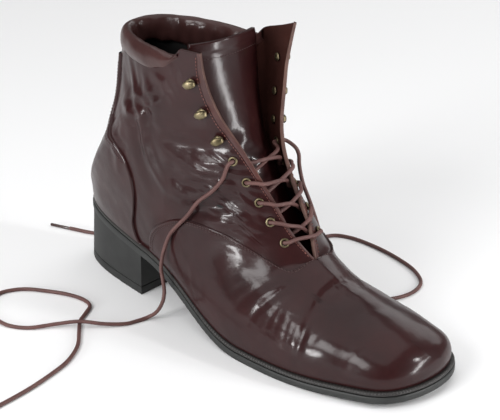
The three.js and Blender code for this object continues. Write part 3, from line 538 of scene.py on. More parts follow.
def crease_height(p):
    """How far the creases push points in or out, in millimetres."""
    flat = p.reshape(-1, 3)
    total = np.zeros(len(flat))
    for depth, width, line in CREASE_LINES:
        reach = width * 4.2
        near_box = np.all((flat > line.min(axis=0) - reach) & (flat < line.max(axis=0) + reach), axis=1)
        spots = flat[near_box]
        near = np.full(len(spots), 1e9)
        fade = np.zeros(len(spots))
        for k in range(len(line) - 1):
            along = line[k + 1] - line[k]
            t = np.clip(((spots - line[k]) @ along) / (along @ along + 1e-9), 0, 1)
            d = np.linalg.norm(spots - line[k] - t[:, None] * along, axis=1)
            share = (k + t) / (len(line) - 1)
            closer = d < near
            near = np.where(closer, d, near)
            fade = np.where(closer, np.sin(np.pi * np.clip(share, 0, 1)) ** 0.7, fade)
        r = near / width
        bank = 0.4 * np.exp(-(r - 2.1) ** 2)
        total[near_box] += FOLD_STRENGTH * depth * fade * (bank - np.exp(-r * r))
    return total.reshape(p.shape[:-1])


def waves(p, size, seed, count=18):
    """Smooth seeded unevenness of about the given size, from -1 to 1."""
    rng = np.random.default_rng(seed)
    total = np.zeros(p.shape[:-1])
    for _ in range(count):
        way = rng.normal(size=3)
        way *= 2 * np.pi / (size * rng.uniform(0.7, 1.6)) / np.linalg.norm(way)
        total += np.sin(p @ way + rng.uniform(0, 2 * np.pi))
    return total / math.sqrt(count)


# Where the leather is finely crinkled: middle and reach of each patch, and the strength
CRINKLES = [
    ((136, -33, 98), 24, 0.34),
    ((158, -24, 84), 22, 0.2),
    ((190, -38, 32), 20, 0.07),
    ((134, 33, 100), 24, 0.16),
]


def crinkle_height(p):
    """Fine crinkles, which run across the ankle in their patches."""
    mask = 0
    for middle, reach, strength in CRINKLES:
        away = np.linalg.norm(p - np.array(middle, float), axis=-1)
        mask = mask + strength * np.exp(-(away / reach) ** 4)
    stretched = p @ np.array([[0.32, 0.0, 0.12], [0.0, 0.6, 0.0], [0.2, 0.0, 1.0]])
    return mask * waves(stretched, 4.6, 8, 26)


def leather_height(p):
    """All the relief of the worn leather, in millimetres."""
    return crease_height(p) + crinkle_height(p) + 0.22 * waves(p, 34, 3) + 0.05 * waves(p, 12, 4)


# Mesh helpers
def to_metres(p):
    """From the tables' millimetres to the frame."""
    p = np.array(p, float)
    p[..., 0] -= ORIGIN_X
    return p / 1000


def mesh_object(name, points, faces, mat):
    mesh = bpy.data.meshes.new(name)
    mesh.from_pydata(to_metres(points).tolist(), [], faces)
    mesh.validate()
    mesh.update()
    obj = bpy.data.objects.new(name, mesh)
    bpy.context.scene.collection.objects.link(obj)
    mesh.materials.append(mat)
    mesh.polygons.foreach_set("use_smooth", [True] * len(mesh.polygons))
    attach(obj, "root")
    return obj


def grid_faces(lines, size, start=0, wrap=False):
    """Quads of a grid of points, line by line. A wrapped grid closes round each line."""
    faces = []
    last = size if wrap else size - 1
    for i in range(lines - 1):
        for j in range(last):
            a = start + i * size + j
            b = start + i * size + (j + 1) % size
            faces.append((a, a + size, b + size, b))
    return faces


def weld(obj, distance=0.00002):
    work = bmesh.new()
    work.from_mesh(obj.data)
    bmesh.ops.remove_doubles(work, verts=work.verts, dist=distance)
    bmesh.ops.recalc_face_normals(work, faces=work.faces)
    work.to_mesh(obj.data)
    work.free()
    obj.data.update()
    return obj


def join_grids(name, grids, mat, drop=None):
    """One mesh from several grids of points, with their common edges welded."""
    points, faces, count = [], [], 0
    for grid in grids:
        points.append(grid.reshape(-1, 3))
        faces += grid_faces(grid.shape[0], grid.shape[1], count)
        count += grid.shape[0] * grid.shape[1]
    points = np.vstack(points)
    if drop is not None:
        centres = np.array([points[list(f)].mean(axis=0) for f in faces])
        faces = [face for face, cut in zip(faces, drop(centres)) if not cut]
    return weld(mesh_object(name, points, faces, mat))


def facing_out(side, grid):
    """Turns the inner side's grids round, so that both sides face out."""
    return grid if side == "outer" else grid[:, ::-1]


# Materials
def material(name):
    mat = bpy.data.materials.new(name)
    mat.use_nodes = True
    return mat, mat.node_tree, mat.node_tree.nodes["Principled BSDF"]


def object_place(tree, node):
    """Lays a texture out by the object's own coordinates."""
    coords = tree.nodes.new("ShaderNodeTexCoord")
    tree.links.new(coords.outputs["Object"], node.inputs["Vector"])


def noise(tree, scale, detail=3.0, rough=0.5):
    node = tree.nodes.new("ShaderNodeTexNoise")
    node.inputs["Scale"].default_value = scale
    node.inputs["Detail"].default_value = detail
    node.inputs["Roughness"].default_value = rough
    object_place(tree, node)
    return node.outputs["Fac"]


def cells(tree, scale):
    """Small cells, as in the grain of leather."""
    node = tree.nodes.new("ShaderNodeTexVoronoi")
    node.feature = "DISTANCE_TO_EDGE"
    node.inputs["Scale"].default_value = scale
    object_place(tree, node)
    return node.outputs["Distance"]


def ramp(tree, value, stops):
    """A blend between two colours, each at its place."""
    node = tree.nodes.new("ShaderNodeValToRGB")
    for element, (at, colour) in zip(node.color_ramp.elements, stops):
        element.position = at
        element.color = (*colour, 1)
    tree.links.new(value, node.inputs["Fac"])
    return node.outputs["Color"]


def remap(tree, value, low, high):
    """Spreads the middle of a noise from low to high."""
    node = tree.nodes.new("ShaderNodeMapRange")
    node.inputs["From Min"].default_value = 0.3
    node.inputs["From Max"].default_value = 0.7
    node.inputs["To Min"].default_value = low
    node.inputs["To Max"].default_value = high
    tree.links.new(value, node.inputs["Value"])
    return node.outputs["Result"]


def bump(tree, shader, heights):
    """Chains bumps: each entry is a value, its strength and its distance in metres."""
    last = None
    for value, strength, distance in heights:
        node = tree.nodes.new("ShaderNodeBump")
        node.inputs["Strength"].default_value = strength
        node.inputs["Distance"].default_value = distance
        tree.links.new(value, node.inputs["Height"])
        if last is not None:
            tree.links.new(last, node.inputs["Normal"])
        last = node.outputs["Normal"]
    tree.links.new(last, shader.inputs["Normal"])
    return last

def leather(name, dark, light, rough=0.42, coat=0.45, wrinkle=0.2):
    """Polished leather: mottled tone, fine grain and a clear coat that follows them."""
    mat, tree, shader = material(name)
    tone = noise(tree, 28, 4, 0.6)
    tree.links.new(ramp(tree, tone, [(0.3, dark), (0.72, light)]), shader.inputs["Base Color"])
    polish = remap(tree, noise(tree, 60, 3), rough - 0.05, rough + 0.1)
    tree.links.new(polish, shader.inputs["Roughness"])
    shader.inputs["Specular IOR Level"].default_value = 0.1
    shader.inputs["Coat Weight"].default_value = coat
    shader.inputs["Coat Roughness"].default_value = 0.15
    relief = [(noise(tree, 170, 4, 0.6), wrinkle, 0.0006), (cells(tree, 1300), 0.22, 0.0001)]
    tree.links.new(bump(tree, shader, relief), shader.inputs["Coat Normal"])
    return mat


def plain(name, colour, rough, metallic=0.0, grain=0.0, scale=900, distance=0.0002, spread=None):
    """A plain material, with grain where it has any, and mottled towards spread."""
    mat, tree, shader = material(name)
    shader.inputs["Base Color"].default_value = (*colour, 1)
    if spread is not None:
        tone = ramp(tree, noise(tree, 90, 4), [(0.35, colour), (0.7, spread)])
        tree.links.new(tone, shader.inputs["Base Color"])
    shader.inputs["Roughness"].default_value = rough
    shader.inputs["Metallic"].default_value = metallic
    if grain:
        bump(tree, shader, [(noise(tree, scale, 4), grain, distance)])
    return mat


LEATHER = leather("burgundy_leather", (0.017, 0.0040, 0.0042), (0.030, 0.0070, 0.0072))
PAD_LEATHER = leather("collar_leather", (0.034, 0.013, 0.012), (0.058, 0.024, 0.022), rough=0.4, wrinkle=0.3)
# The lining cloth is dark, and its colour is taken down to near black as painted shade for the inside of the
# boot.
LINING_AND_SHADE = plain("lining", (0.0035, 0.0028, 0.0028), 0.8, grain=0.2)
FACING_LINING = leather("facing_lining", (0.022, 0.0075, 0.006), (0.040, 0.013, 0.010), rough=0.5, coat=0.12)
EDGE = plain("cut_edge", (0.075, 0.032, 0.024), 0.65, grain=0.4, spread=(0.14, 0.07, 0.052))
RIM = plain("worn_rim", (0.042, 0.0105, 0.009), 0.5, grain=0.3, spread=(0.075, 0.021, 0.016))
THREAD = plain("thread", (0.045, 0.018, 0.017), 0.6)
LIGHT_THREAD = plain("light_thread", (0.17, 0.055, 0.042), 0.6)
SOLE = plain("sole_rubber", (0.014, 0.015, 0.0143), 0.55, grain=0.25, scale=500,
             spread=(0.022, 0.0235, 0.022))
WELT_MAT = plain("welt_leather", (0.018, 0.016, 0.015), 0.5, grain=0.3, scale=700)
INSOLE_MAT = plain("insole_leather", (0.012, 0.008, 0.007), 0.6, grain=0.3, scale=600,
                   spread=(0.022, 0.014, 0.011))
HEEL_MAT = plain("heel_black", (0.007, 0.0073, 0.007), 0.6, grain=0.25, scale=300,
                 spread=(0.015, 0.016, 0.015))
BRASS = plain("aged_brass", (0.13, 0.105, 0.06), 0.42, metallic=1.0, grain=0.2, spread=(0.28, 0.235, 0.145))
LACE_MAT = plain("waxed_lace", (0.085, 0.034, 0.030), 0.6, grain=0.6, scale=1500, distance=0.0003,
                 spread=(0.125, 0.056, 0.049))
AGLET_MAT = plain("aglet_sleeve", (0.05, 0.026, 0.023), 0.2)


# The sole: sections across at each turn round the outline
def sole_sections(turns, inset, wall, across=9):
    """Closed sections. wall lists (inset, height) up one side, over the tread."""
    heights = [h for _, h in wall]
    steps = np.linspace(0, 1, across)
    rings = []
    for turn in turns:
        left = [inset_point("inner", turn, inset + i) for i, _ in wall]
        right = [inset_point("outer", turn, inset + i) for i, _ in wall]
        ring = [(left[0] * (1 - t) + right[0] * t, heights[0]) for t in steps]
        ring += zip(right[1:], heights[1:])
        ring += [(left[-1] * (1 - t) + right[-1] * t, heights[-1]) for t in steps[-2::-1]]
        ring += list(zip(left, heights))[-2:0:-1]
        rings.append([[p[0], p[1], float(tread_height(p[0])) + h] for p, h in ring])
    return np.array(rings)


def even_turns(count):
    """Turns spaced evenly along the outer outline."""
    fine = np.linspace(0, 1, 2001)
    run = run_along(outline_point("outer", fine))
    return np.interp(np.linspace(0, run[-1], count), run, fine)


def ring_mesh(name, rings, mat):
    """A closed mesh through rings, with a face at each end."""
    count, size = rings.shape[:2]
    faces = grid_faces(count, size, wrap=True)
    faces.append(tuple(range(size)))
    faces.append(tuple(range((count - 1) * size, count * size))[::-1])
    return weld(mesh_object(name, rings.reshape(-1, 3), faces, mat))


def smooth_by_angle(obj, degrees=35):
    for other in bpy.context.view_layer.objects:
        other.select_set(False)
    obj.select_set(True)
    bpy.context.view_layer.objects.active = obj
    bpy.ops.object.shade_smooth_by_angle(angle=math.radians(degrees))
    obj.select_set(False)
    return obj


def make_outsole():
    wall = [(0.5, 0.0), (0.1, 0.25), (0.0, 0.8), (0.0, 3.3), (0.12, 3.8), (0.5, OUTSOLE)]
    rings = sole_sections(even_turns(260), 0.0, wall)
    obj = smooth_by_angle(ring_mesh("outsole_skin", rings, SOLE))
    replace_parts(obj, "outsole")


# The wheeled notches of the welt: depth, pitch, and the turns between which they fade away
NOTCH_DEPTH = 0.28
NOTCH_PITCH = 2.0
NOTCH_END = 0.62
NOTCH_FADE = 0.08


def make_welt():
    """The welt: a strip with a wheeled top edge, notched all round the forefoot."""
    turns = even_turns(760)
    run = run_along(outline_point("outer", turns))
    low = OUTSOLE + GAP
    profile = [(9.0, low), (1.1, low), (0.65, low + 0.25), (0.4, low + 0.7), (0.4, low + 1.7),
               (0.75, low + 2.2), (1.2, low + WELT), (1.9, low + WELT), (9.0, low + WELT)]
    grids = []
    for side in SIDES:
        rings = []
        for turn, s in zip(turns, run):
            notch = NOTCH_DEPTH * (0.5 - 0.5 * math.cos(2 * math.pi * s / NOTCH_PITCH))
            notch *= float(np.clip((NOTCH_END - turn) / NOTCH_FADE, 0, 1))
            ring = []
            for k, (inset, height) in enumerate(profile):
                cut = notch if 4 <= k <= 7 else 0.0
                p = inset_point(side, turn, inset + cut)
                z = float(tread_height(p[0])) + height - (cut if k >= 5 else 0)
                ring.append([p[0], p[1], z])
            rings.append(ring)
        grids.append(facing_out(side, np.array(rings)))
    obj = smooth_by_angle(join_grids("welt_skin", grids, WELT_MAT), 40)
    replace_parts(obj, "welt")


def heel_rings(heights, parts=60):
    """Rings round the heel. heights lists (height, inset), and the seat trims them."""
    rings = []
    first = float(turn_at(HEEL_LENGTH / LENGTH))
    for z, inset in heights:
        ring = []
        for i in range(-parts, parts + 1):
            turn = 1 + (first - 1) * abs(i) / parts
            side = "outer" if i < 0 else "inner"
            _, outward = outline_frame(side, turn)
            p = outline_point(side, turn)
            top = float(tread_height(p[0])) - GAP
            height = min(z, top)
            flare = HEEL_FLARE * max(0, -outward[0]) * (1 - height / top)
            p = p + outward * (flare - HEEL_INSET - inset)
            ring.append([min(p[0], HEEL_LENGTH - inset), p[1], height])
        rings.append(ring)
    return np.array(rings)


def make_insole():
    """The footbed inside the upper, with a softly rounded top edge."""
    low = OUTSOLE + WELT + 3 * GAP
    wall = [(0.0, low), (0.0, low + 0.8 * INSOLE), (0.12, low + 0.93 * INSOLE), (0.45, low + INSOLE)]
    rings = sole_sections(even_turns(120), float(REACH(0)) + WALL + 1.2, wall)
    obj = smooth_by_angle(ring_mesh("insole_skin", rings, INSOLE_MAT), 40)
    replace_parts(obj, "insole")


def make_heel():
    """Block and top lift, with small bevels where they meet."""
    foot = LIFT + GAP
    block = [(foot, 0.3), (foot + 0.3, 0.05), (foot + 0.8, 0.0), (20, 0.0), (37, 0.0), (60, 0.0)]
    lift = [(0.0, 0.5), (0.25, 0.12), (0.7, 0.0), (LIFT - 0.7, 0.0), (LIFT - 0.25, 0.12), (LIFT, 0.5)]
    for node, heights in (("heel_block", block), ("top_lift", lift)):
        obj = smooth_by_angle(ring_mesh(node + "_skin", heel_rings(heights), HEEL_MAT), 30)
        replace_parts(obj, node)


# The upper's pieces
def skin(side, rows, shares, offset, bumps=True):
    """The upper's surface moved out by offset, with its relief, and kept over the sole."""
    p = surface(side, rows, shares)
    height = leather_height(p) if bumps else 0
    feather = np.clip((p[..., 2] - sole_top(p[..., 0])) / 6, 0, 1)
    out = np.asarray(offset) + np.asarray(height) * feather
    moved = p + normal(side, rows, shares) * out[..., None]
    moved[..., 2] = np.maximum(moved[..., 2], sole_top(moved[..., 0]) + 0.05)
    return moved


EYELET_SHARES = [1.09, 1.195, 1.3, 1.405, 1.51]
HOOK_SHARES = [1.61, 1.735, 1.87]
EYELET_HOLE = 2.15


def row_of_top(share):
    """The rib whose top lies at this share of the facing."""
    rows = np.linspace(5, ROWS, 2201)
    return float(np.interp(share, RIBS["top"](rows), rows))


def facing_spot(side, share, inset=HARDWARE_INSET):
    """A spot on a facing: its point, the way towards the edge, and the normal."""
    row = row_of_top(share)
    line = surface(side, np.full(161, row), np.linspace(0, 1, 161))
    length = np.linalg.norm(np.diff(line, axis=0), axis=1).sum()
    at = 1 - inset / length
    point = surface(side, row, at)
    n = normal(side, row, at)
    toward = surface(side, row, at + 0.01) - surface(side, row, at - 0.01)
    toward = unit(toward - n * (toward @ n))
    return point, toward, n


def lifted(side, share, inset, height):
    """A point over a facing, or under it where height is negative."""
    point, _, n = facing_spot(side, share, inset)
    return point + n * height


def eyelet_zones():
    """A test that says which face centres lie in the eyelets' holes."""
    spots = [facing_spot(side, share) for side in SIDES for share in EYELET_SHARES]

    def drop(centres):
        cut = np.zeros(len(centres), bool)
        for point, _, across in spots:
            offset = centres - point
            height = offset @ across
            radial = np.linalg.norm(offset - height[:, None] * across, axis=1)
            cut |= (radial < EYELET_HOLE) & (np.abs(height) < 6)
        return cut

    return drop


def rolled(left, width):
    """Rises from 0 at an edge to 1 at the given distance from it."""
    return np.sqrt(1 - (1 - np.clip(left / width, 0, 1)) ** 2)


def make_vamp():
    """The vamp lies over the quarters and ends in a rounded tab on each side."""
    grids = []
    shares = np.linspace(0, 1, 150)
    for side in SIDES:
        rows = vamp_limit(side, shares)[None] * np.linspace(0, 1, 230)[:, None]
        cols = np.broadcast_to(shares, rows.shape)
        run = run_along(surface(side, rows, cols))
        top = skin(side, rows, cols, LAYER * rolled(run[-1] - run, 0.9))
        edge = skin(side, rows[-1:], cols[-1:], -0.3)
        grids.append(facing_out(side, np.concatenate([top, edge])))
    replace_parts(join_grids("vamp_skin", grids, LEATHER), "upper")


def make_quarters():
    """The quarters, from under the vamp to the top line, with the eyelets' holes."""
    grids = []
    shares = np.linspace(0, 1, 190)
    for side in SIDES:
        start = np.maximum(vamp_limit(side, shares) - 0.25, 4.0)
        end = top_limit(side, shares)
        t = np.linspace(0, 1, 240)[:, None]
        rows = start[None] * (1 - t) + end[None] * t
        cols = np.broadcast_to(shares, rows.shape)
        outside = skin(side, rows, cols, 0.0)
        top = skin(side, rows[-1:], cols[-1:], -WALL * 0.5, bumps=False)
        grids.append(facing_out(side, np.concatenate([outside, top])))
    join_grids("quarter_skin", grids, LEATHER, eyelet_zones())


def facing_end(side):
    """The rib at which a facing's edge meets the top line."""
    return float(top_limit(side, np.array([1.0]))[0])


def make_facing_edges():
    """The cut edge of each facing, in the raw colour of the leather."""
    grids = []
    depth = np.array([0.05, -0.15, -0.6, -1.2, -1.8, -WALL])[None]
    reach = np.array([0.0, 0.12, 0.22, 0.22, 0.12, 0.0])[None]
    for side in SIDES:
        rows = np.linspace(5.0, facing_end(side), 260)[:, None]
        ones = np.ones_like(rows)
        p = surface(side, rows, ones)
        toward = unit(p - surface(side, rows, 0.985 * ones))
        out = normal(side, rows, ones) * (leather_height(p) + depth)[..., None]
        grids.append(facing_out(side, p + out + toward * reach[..., None]))
    join_grids("facing_edges", grids, EDGE)


# The length of a rib by the facings, which turns millimetres from the edge into shares
FACING_RIB = 95


def make_facing_rims():
    """A narrow worn band along each facing's edge."""
    grids = []
    inset = np.array([0.0, 0.4, 1.2, 1.9, 2.0])
    lift = np.array([0.04, 0.12, 0.12, 0.1, -0.05])
    for side in SIDES:
        rows = np.linspace(5.2, facing_end(side), 300)[:, None]
        shares = np.broadcast_to(1 - inset / FACING_RIB, (300, 5))
        grids.append(facing_out(side, skin(side, rows, shares, lift * np.ones_like(shares))))
    join_grids("facing_rims", grids, RIM)


def inner_skin(side, rows, shares):
    """The wall's inside, facing inwards and kept over the sole."""
    grid = skin(side, rows, shares, -WALL, bumps=False)
    grid[..., 2] = np.maximum(grid[..., 2], sole_top(grid[..., 0]) + 0.1)
    return facing_out(side, grid)[:, ::-1]


def lining_grids(low, high, count):
    grids = []
    shares = np.linspace(low, high, count)
    t = np.linspace(0, 1, 170)[:, None]
    for side in SIDES:
        rows = LINING_START * (1 - t) + top_limit(side, shares)[None] * t
        grids.append(inner_skin(side, rows, np.broadcast_to(shares, rows.shape)))
    return grids


# The rib where the toe's lining ends, and the share up to which the quarters' lining is cloth
LINING_START = 4.2
CLOTH_END = 0.74


def make_lining():
    """Dark cloth inside, near black as painted shade for the boot's inside, with leather along the facings.
    """
    zones = eyelet_zones()
    join_grids("lining", lining_grids(0, CLOTH_END, 74), LINING_AND_SHADE, zones)
    join_grids("facing_lining", lining_grids(CLOTH_END, 1, 30), FACING_LINING, zones)
    rows, cols = np.meshgrid(np.linspace(0, LINING_START, 60), np.linspace(0, 1, 60), indexing="ij")
    toe = [inner_skin(side, rows, cols) for side in SIDES]
    join_grids("toe_lining", toe, LINING_AND_SHADE)


COUNTER_START = 6.9
COUNTER_END = 15.42


def make_counter():
    """The counter stands on the quarters, with a rolled front edge."""
    grids = []
    rows = np.linspace(COUNTER_START, COUNTER_END, 240)
    for side in SIDES:
        shares = counter_limit(side, rows)[:, None] * np.linspace(0, 1, 110)[None]
        r = np.broadcast_to(rows[:, None], shares.shape)
        run = run_along(surface(side, r, shares), axis=1)
        top = skin(side, r, shares, 0.25 + OVERLAY * rolled(run[:, -1:] - run, 1.3))
        edge = skin(side, r[:, -1:], shares[:, -1:], -0.4)
        grids.append(facing_out(side, np.concatenate([top, edge], axis=1)))
    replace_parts(join_grids("counter_skin", grids, LEATHER), "counter")


# The collar pad
PAD_RISE = 12.0
PAD_THICKNESS = 9.0
PAD_SHARES = {"outer": 0.86, "inner": 0.83}


def row_at_height(side, share, z):
    rows = np.linspace(9, ROWS, 1401)
    heights = surface(side, rows, np.full_like(rows, share))[:, 2]
    return float(np.interp(z, heights, rows))


def pad_ring(side, share, count=40):
    """A section of the pad: up from its seam, over and down inside the collar."""
    start = surface(side, row_at_height(side, share, DIP_HEIGHT + 4), share)
    seam = float(dip_height(side, start[0]))
    row = row_at_height(side, share, seam)
    foot = surface(side, row, share)
    out = unit(normal(side, row, max(share, 0.004)) * np.array([1, 1, 0]))
    left = max(0.12, min(1, (PAD_SHARES[side] - share) / 0.14))
    rise = max(2.0, DIP_HEIGHT + PAD_RISE + math.sin(math.pi * min(1, share)) - seam)
    deep = PAD_THICKNESS * 0.74 * (0.5 + 0.5 * math.sqrt(left))
    shape = [
        (-0.5, -2.2), (0.3, -0.3), (1.0, rise * 0.25), (0.9, rise * 0.55), (-0.3, rise * 0.84),
        (-deep * 0.36, rise), (-deep * 0.68, rise * 0.95), (-deep * 0.95, rise * 0.68), (-deep, rise * 0.25),
        (-deep * 0.85, -2.5), (-WALL - 0.2, -5),
    ]
    line = smooth_line(shape, count)
    return np.array([foot + out * o + np.array([0, 0, z]) for o, z in line])


def make_pad():
    """The padded collar, gathered on its inside."""
    parts = 110
    shares = np.linspace(0, 1, parts)
    rings = [pad_ring("outer", PAD_SHARES["outer"] * t) for t in shares[::-1]]
    rings += [pad_ring("inner", PAD_SHARES["inner"] * t) for t in shares[1:]]
    grid = np.array(rings)
    across = np.arange(grid.shape[1])
    inside = np.clip((across - 22) / 8, 0.05, 1)
    along = run_along(grid[:, 20])
    gather = 0.6 * waves(vec(along[:, None], across[None] * 0.5, 0), 9, 11)
    n = unit(np.cross(np.gradient(grid, axis=0), np.gradient(grid, axis=1)))
    swell = inside[None] * gather + 0.25 * waves(grid, 14, 12)
    grid[1:-1] += n[1:-1] * swell[1:-1, :, None]
    obj = join_grids("collar_pad_skin", [grid], PAD_LEATHER)
    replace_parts(obj, "collar_pad")


# The tongue
TONGUE_TOP = 7.3
HEM_ROW = 6.95
HEM_STITCHES = 6.78
TONGUE = columns(["x", "z", "outer", "inner", "fall"], [
    [0, 181, 47, -13, 14.5, 1.5],
    [1, 171, 60, -15, 16.5, 2.5],
    [2, 158, 78, -17, 17, 4],
    [3, 147, 96, -19, 18, 5.5],
    [4, 138, 115, -22, 19.5, 7],
    [5, 131, 134, -25, 20.5, 8.5],
    [6, 126, 154, -27, 20.5, 9.5],
    [7, 123, 174, -27, 18.5, 10],
    [7.3, 122.5, 179.5, -26, 17.5, 10],
])


def tongue_faces(rows, across):
    """Front and rear of the tongue at the given rows, and the way it faces."""
    rows = rows[:, None]
    t = np.linspace(-1, 1, across)[None]
    along = unit(vec(slope(TONGUE["x"], rows), 0, slope(TONGUE["z"], rows)))
    back = vec(-along[..., 2], 0, along[..., 0])
    open_top = np.clip((rows - 4) / 3, 0, 1)
    y = np.where(t < 0, -t * TONGUE["outer"](rows), t * (TONGUE["inner"](rows) + 2.5 * open_top))
    fall = TONGUE["fall"](rows) * t * t * np.where(t > 0, 1 - 0.8 * open_top, 1)
    p = vec(TONGUE["x"](rows), 0, TONGUE["z"](rows)) + vec(0, y, 0) + back * fall[..., None]
    crumple = np.exp(-((rows - 3.4) / 0.9) ** 2)
    height = 0.16 * waves(p, 40, 21) + 0.9 * crumple * waves(p, 13, 22)
    hem = 0.35 * np.clip((rows - HEM_ROW) / 0.03, 0, 1)
    lean = unit(back + vec(0, -0.35 * t * np.ones_like(rows), 0))
    front = p - lean * (height + hem)[..., None]
    rear = p + lean * (1.8 - height * 0.8)[..., None]
    return front, rear, lean[0]


def make_tongue():
    front, rear, _ = tongue_faces(np.linspace(0, TONGUE_TOP, 150), 60)
    grids = [front, rear[:, ::-1]]
    for index in (0, -1):
        grids.append(np.stack([front[:, index], rear[:, index]], axis=1))
    grids.append(np.stack([front[-1], rear[-1]], axis=0))
    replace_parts(join_grids("tongue_skin", grids, LEATHER), "tongue")


# Eyelets and hooks
def lathe(profile, point, axis, first, parts=36):
    """Turns a profile of (radius, height) round an axis, from the first way."""
    beside = np.cross(axis, first)
    rings = []
    for k in range(parts + 1):
        angle = 2 * math.pi * k / parts
        way = first * math.cos(angle) + beside * math.sin(angle)
        rings.append([point + way * r + axis * h for r, h in profile])
    return np.array(rings)


# Profiles of the eyelet, and of the rivet and the plate of a hook
EYELET = [
    (1.6, -2.7), (1.6, 0.5), (1.72, 0.85), (2.0, 1.02), (2.35, 0.98), (2.7, 0.78), (2.9, 0.45), (2.9, 0.2),
    (2.0, 0.1), (2.0, -2.4), (3.2, -2.45), (3.2, -2.75), (1.6, -2.85), (1.6, -2.7),
]
RIVET = [(0.0, -3.9), (1.3, -3.8), (2.2, -3.5), (2.7, -2.95), (0.0, -2.9)]
PLATE = [(0.0, 0.5), (2.3, 0.5), (2.7, 0.3), (2.7, 0.15), (0.0, 0.1)]


def facing_places(shares):
    """Each place of a row of hardware: the ending of its name and its spot."""
    for side, tag in (("outer", "near"), ("inner", "far")):
        for k, share in enumerate(shares):
            yield f"{tag}_{k + 1}", facing_spot(side, share)


def make_eyelets():
    for label, (point, toward, n) in facing_places(EYELET_SHARES):
        grid = lathe(EYELET, point, n, toward)
        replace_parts(join_grids(f"eyelet_ring_{label}", [grid], BRASS), f"eyelet_{label}")


# A hook's strip in side view, towards the edge and up, with its half width
HOOK = [
    (-3.0, 0.75, 0.6), (-2.4, 0.75, 2.0), (0.0, 0.75, 2.5), (2.2, 0.8, 2.2), (3.4, 1.3, 1.7), (3.9, 2.4, 1.5),
    (3.4, 3.5, 1.7), (2.2, 4.2, 2.2), (0.4, 4.6, 2.6), (-1.4, 4.55, 2.4), (-2.6, 4.2, 1.7), (-3.2, 3.95, 0.5),
]


def hook_grid(spot):
    point, toward, n = spot
    beside = np.cross(n, toward)
    rows = np.array(HOOK)
    line = smooth_line(rows[:, :2], 44)
    half = np.interp(np.linspace(0, len(rows) - 1, 45), np.arange(len(rows)), rows[:, 2])
    along = unit(np.gradient(line, axis=0))
    out = np.stack([along[:, 1], -along[:, 0]], -1)
    across = np.linspace(-1, 1, 11)
    sheets = []
    for sign in (1, -1):
        thick = sign * 0.42 * np.sqrt(np.clip(1.0 - across ** 4, 0, 1))
        crown = 0.5 * across ** 2 * np.clip((line[:, 1] - 3.6) / 0.6, 0, 1)[:, None]
        x = line[:, :1] + out[:, :1] * thick[None]
        z = line[:, 1:] + out[:, 1:] * thick[None] - crown
        y = half[:, None] * across[None]
        sheets.append(point + x[..., None] * toward + z[..., None] * n + y[..., None] * beside)
    ends = [np.stack([sheets[0][k], sheets[1][k]]) for k in (0, -1)]
    return [sheets[0], sheets[1][:, ::-1], *ends]


def make_hooks():
    for label, (point, toward, n) in facing_places(HOOK_SHARES):
        obj = join_grids(f"speed_hook_{label}", hook_grid((point, toward, n)), BRASS)
        join_grids(f"hook_rivet_{label}", [lathe(RIVET, point, n, toward, 24)], BRASS)
        join_grids(f"hook_plate_{label}", [lathe(PLATE, point, n, toward, 28)], BRASS)
        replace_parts(obj, f"hook_{label}")


# The lace
TOP_EYELET = len(EYELET_SHARES) - 1
OVER_EYELET = GAP + 0.7 + 0.35 + LACE / 2
FLOOR = LACE / 2 + 0.05
LOOSE_ENDS = {
    "outer": [
        [138.5, -26.4, 102.5], [133.5, -29.8, 94.5], [124.5, -32.9, 85.5], [117.5, -34.7, 75],
        [110.5, -35.3, 67], [103.5, -35.5, 58.5], [99.5, -35.7, 50], [97.5, -36.8, 42], [97.8, -38.6, 34],
        [100.5, -40, 28], [103, -41.4, 21], [102.5, -42.6, 14], [98.5, -44.3, 6], [94, -47, 2],
        [91.5, -54, FLOOR], [89, -61, FLOOR], [81, -72, 2.6], [70, -81.5, 4], [60, -91.5, 2.6],
        [49, -105, FLOOR],
        [39, -111, FLOOR], [31, -112, FLOOR], [18, -110, FLOOR], [7, -102, FLOOR], [2, -89, FLOOR],
        [8, -76, FLOOR], [23, -66, FLOOR], [37, -60, FLOOR], [48, -58.5, FLOOR], [56, -61, FLOOR],
        [61, -69, FLOOR], [66, -78, FLOOR], [75, -87, FLOOR], [87, -99, FLOOR], [96, -115, FLOOR],
        [100, -131, FLOOR], [103, -151, FLOOR], [104, -172, FLOOR], [104, -188, FLOOR],
    ],
    "inner": [
        [148.5, 26, 109.2], [150.3, 27.2, 105], [150.6, 27.6, 98], [151.5, 28, 92], [153.5, 28.2, 85.5],
        [157, 28.8, 78], [158.5, 31.5, 69], [158.5, 38, 52], [156, 44, 36], [149, 52, 20], [139, 61, 8],
        [127, 71, 2.2], [115, 83, FLOOR], [105, 96, FLOOR], [101, 108, FLOOR], [105, 117.5, FLOOR],
        [116, 122.5, FLOOR], [139, 123, FLOOR], [162, 119, FLOOR], [177, 113.5, FLOOR], [189, 104, FLOOR],
        [193, 93, FLOOR], [192, 82, FLOOR], [186, 71, FLOOR], [172, 63, FLOOR], [150, 58, FLOOR],
        [120, 55, FLOOR], [85, 50, FLOOR], [50, 42, FLOOR], [20, 30, FLOOR], [-4, 16, FLOOR],
        [-19.5, 8, FLOOR], [-34.8, 2.8, FLOOR],
    ],
}


def lace_curve(name, paths, parts):
    data = bpy.data.curves.new(name, "CURVE")
    data.dimensions = "3D"
    data.bevel_depth = LACE / 2000
    data.bevel_resolution = 4
    data.use_fill_caps = True
    for path in paths:
        points = to_metres(smooth_line(path, parts))
        line = data.splines.new("POLY")
        line.points.add(len(points) - 1)
        for point, place in zip(line.points, points):
            point.co = (*place, 1)
        line.use_smooth = True
    data.materials.append(LACE_MAT)
    obj = bpy.data.objects.new(name, data)
    bpy.context.scene.collection.objects.link(obj)
    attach(obj, "root")
    return obj


def through(side, share, *heights):
    """Points up or down through the eyelet at this share."""
    return [lifted(side, share, HARDWARE_INSET, height) for height in heights]


